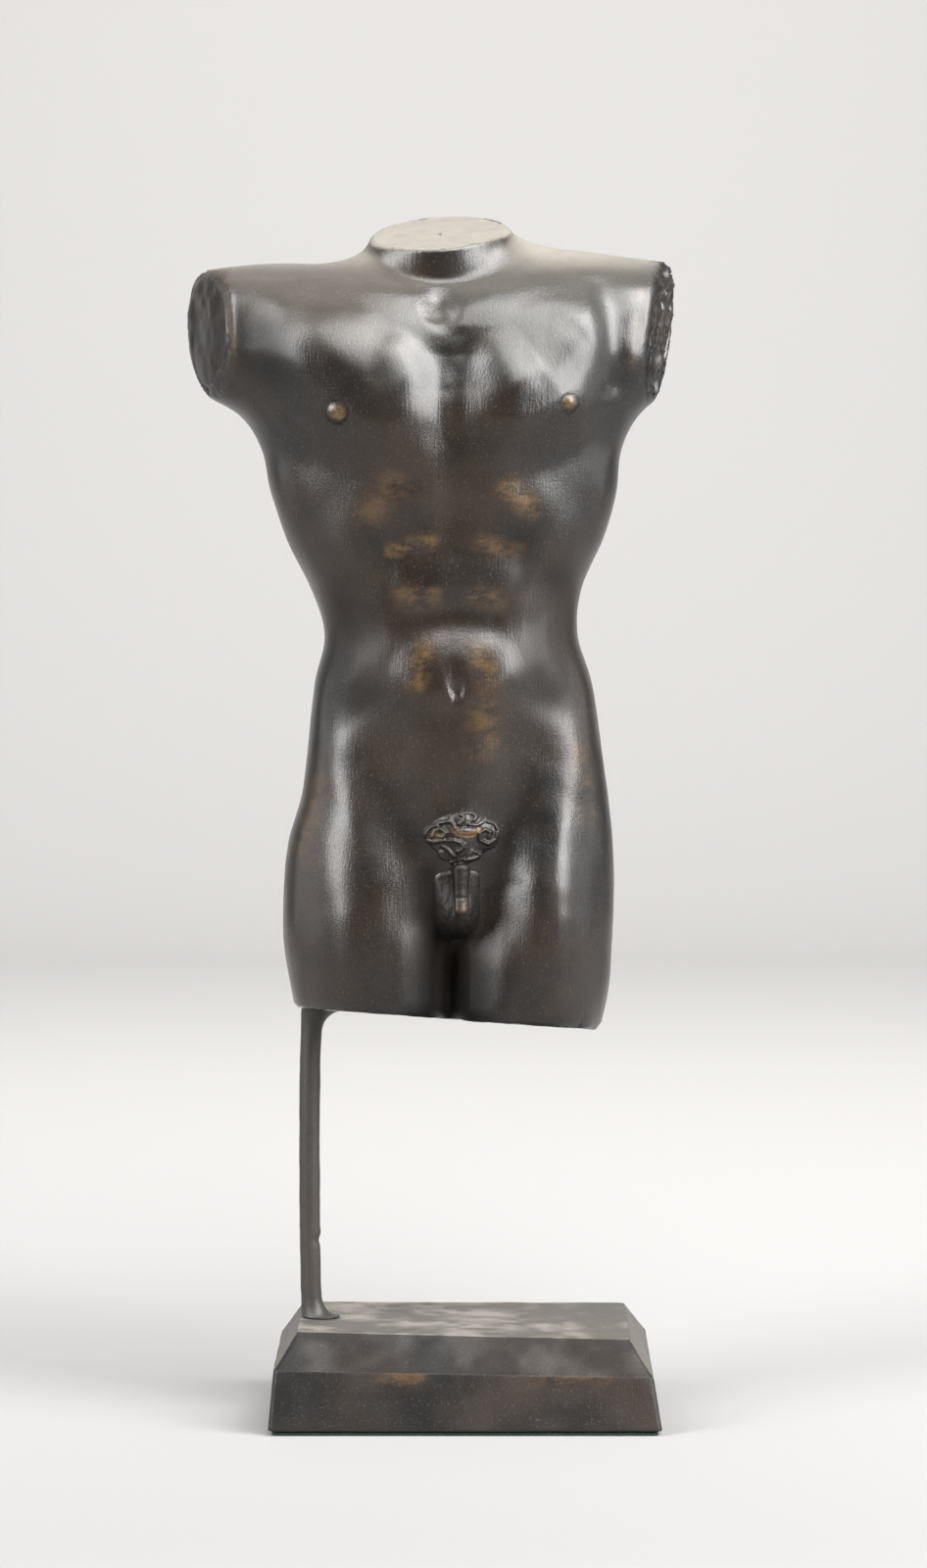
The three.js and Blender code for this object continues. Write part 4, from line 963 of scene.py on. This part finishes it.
def makePlinth(size, masks):
    # Rounded rings from the middle of the underside over the base, the edge and the bevel to the
    # middle of the top; both edges are rounded in two short steps
    r, low = size["edgeRounding"], size["base"]
    base, edge, top = (np.array(size[key]) for key in ("baseHalf", "edgeHalf", "topHalf"))

    def baseRing(half, height):
        x, y = roundedRing(half, size["cornerRadius"])
        return np.stack([x + size["baseShift"], y, height + 0 * x], axis=1)

    def edgeRing(half, lift):
        x, y = roundedRing(half, size["cornerRadius"])
        return np.stack([x, y, size["edgeHeight"] + lift + uneven(size["edgeUneven"], edge, x, y)], axis=1)

    def topRing(half, lift):
        x, y = roundedRing(half, size["cornerRadius"])
        return np.stack([x, y, topHeight(x, y) + lift], axis=1)

    keys = [baseRing(base * 0.1, low), baseRing(base * 0.5, low), baseRing(base - r, low),
            baseRing(base - 0.3 * r, low + 0.3 * r), baseRing(base, low + r),
            edgeRing(edge, -r), edgeRing(edge - 0.3 * r, -0.1 * r), edgeRing(edge - r, 0.5 * r),
            topRing(top, -r), topRing(top - 0.3 * r, -0.3 * r), topRing(top - r, 0),
            topRing(top * 0.85, 0), topRing(top * 0.5, 0), topRing(top * 0.1, 0)]
    item = ringsObject("plinthCasting", blendRings(keys, [4, 4, 1, 1, 22, 1, 1, 14, 1, 1, 4, 8, 8]))
    points, normals = vertexArray(item.data, "co"), vertexArray(item.data, "normal")
    points += normals * (layeredNoise(points, size["wear"]) - size["worn"])[:, None]
    item.data.vertices.foreach_set("co", points.ravel())
    item.data.update()
    blotches = smooth(-0.5, 0.7, layeredNoise(points, size["blotches"]))
    flat = smooth(*masks["flat"], normals[:, 2])
    bevel = smooth(*masks["slanted"], normals[:, 2]) * (1 - flat)
    ends = bevel * smooth(*masks["endwise"], np.abs(normals[:, 0]))
    addAttribute(item, "dustAndSheen", flat * (masks["topDust"] + masks["topBlotches"] * blotches)
                 + masks["bevelDust"] * blotches * bevel + masks["endDust"] * ends)
    addAttribute(item, "dullAndShade", bevel * (1 - ends) * (masks["bevelDirt"] - masks["cleanBlotches"] * blotches))
    edgeLine = bump(points[:, 2], size["edgeHeight"] - masks["edgeDrop"], masks["edgeWidth"])
    edgeLine = edgeLine * smooth(*masks["upright"], normals[:, 2])
    worn = smooth(-0.3, 0.5, layeredNoise(points, size["rubNoise"]))
    addAttribute(item, "rub", masks["edgeGold"] * edgeLine * worn)
    return item


def makeFelt(size):
    # A thin pad of rounded rings: the middle of its underside, its rounded rim, the middle of its top
    half, top, r = np.array(size["feltHalf"]), size["feltTop"], size["feltRounding"]
    rings = []
    for share, height in ((0.1, 0), (0.6, 0), (0.995, 0), (1, r), (1, top - r), (0.995, top),
                          (0.6, top), (0.1, top)):
        x, y = roundedRing(half * share, size["cornerRadius"])
        rings.append(np.stack([x + size["baseShift"], y, height + 0 * x], axis=1))
    return ringsObject("feltPad", rings)


def cutHeight(x, y):
    # The thigh cut's height over a place in the room
    turn = -math.radians(figure["turn"])
    unit = figure["torsoHeight"] / 100
    point, outward = cuts["thighs"]["point"], cuts["thighs"]["outward"]
    flatX = (x * math.cos(turn) - y * math.sin(turn)) / unit - point[0]
    flatY = (x * math.sin(turn) + y * math.cos(turn)) / unit - point[1]
    return figure["base"] + (point[2] - (outward[0] * flatX + outward[1] * flatY) / outward[2]) * unit


# The rod, in metres: a bowed bar between a flared foot and a flared head, with a notch and a lip
# over it, each given as its place above notchHeight, its width and its share of notchDepth
rodSize = {
    "x": -0.0776, "radius": 0.00545, "length": 0.1571, "bow": 0.0009, "columns": 48, "rings": 90,
    "headFlare": 0.0058, "headHeight": 0.013, "footFlare": 0.0046, "footHeight": 0.011,
    "flareRings": 17, "flareCurve": 1.5, "barFrom": 0.016, "barShort": 0.022, "clearance": 0.0003,
    "notchHeight": 0.0405, "notchDepth": 0.0012, "notch": (0, 0.0022, 0.6), "lip": (0.004, 0.002, -0.3),
    "dents": [(0.022, 0.012, 71), (0.012, 0.004, 72)], "thinner": 0.035, "dustAndSheen": 0.09,
}


def makeRod(size):
    # Ovals one above the other. A flare widens along a quarter circle towards its end, and its
    # rings follow the plinth's top or the thigh cut; every ring is then dented a little inwards
    radius, clearance = size["radius"], size["clearance"]
    around = np.linspace(0, 2 * math.pi, size["columns"] + 1)[:-1]
    shares = np.linspace(0, 1, size["flareRings"]) ** size["flareCurve"]

    def oval(x, radiusX, radiusY):
        return x + radiusX * np.cos(around), radiusY * np.sin(around)

    def flared(flare, share, heightAt, lift):
        wider = flare * (1 - math.sqrt(1 - (1 - share) ** 2))
        x, y = oval(size["x"] + wider, radius + wider, radius + wider)
        return np.stack([x, y, heightAt(x, y) + lift], axis=1)

    def barRing(height):
        bend = size["bow"] * math.sin(math.pi * height / size["length"])
        away = height - size["notchHeight"]
        depth = size["notchDepth"] * sum(share * bump(away, middle, width)
                                         for middle, width, share in (size["notch"], size["lip"]))
        x, y = oval(size["x"] - bend - depth / 2, radius - depth / 2, radius)
        return np.stack([x, y, plinthSize["height"] + height + 0 * x], axis=1)

    foot = [flared(size["footFlare"], share, topHeight, clearance + size["footHeight"] * share)
            for share in shares]
    bar = [barRing(height) for height in
           np.linspace(size["barFrom"], size["length"] - size["barShort"], size["rings"])]
    head = [flared(size["headFlare"], share, cutHeight, -clearance - size["headHeight"] * share)
            for share in shares[::-1]]
    rings = np.array(foot + bar + head)
    middle = rings.mean(axis=1, keepdims=True)
    dent = layeredNoise(rings.reshape(-1, 3), size["dents"]).reshape(len(rings), -1, 1) - size["thinner"]
    item = ringsObject("supportRod", middle + (rings - middle) * (1 + dent))
    addAttribute(item, "dustAndSheen", np.full(len(item.data.vertices), size["dustAndSheen"]))
    return item


# The felt: two greens, blended by its fibres
felt = {
    "dark": (0.010, 0.030, 0.020), "light": (0.030, 0.075, 0.050), "fibreScale": 1400, "fibreDetail": 5,
    "band": (0.35, 0.65), "roughness": 0.95, "bump": 0.6, "bumpDistance": 0.0004,
}


def feltMaterial(look):
    material, tree, shader = newMaterial("greenFelt")
    place = tree.nodes.new("ShaderNodeTexCoord").outputs["Object"]
    fibres = noiseAt(tree, place, look["fibreScale"], look["fibreDetail"])
    color = mixColor(tree, spread(tree, fibres, look["band"]), look["dark"], look["light"])
    tree.links.new(color, shader.inputs["Base Color"])
    shader.inputs["Roughness"].default_value = look["roughness"]
    addBump(tree, shader, fibres, look["bump"], look["bumpDistance"])
    return material


dryBronze = bronzeMaterial("dryBronze", dryPatina)
finish(makeLoinSheet(loinSheet), "torso", bronze)
finish(makePlinth(plinthSize, plinthMasks), "plinth", dryBronze)
finish(makeRod(rodSize), "support_rod", dryBronze)
finish(makeFelt(plinthSize), "felt_pad", feltMaterial(felt))
print("loins, plinth, rod and felt made")
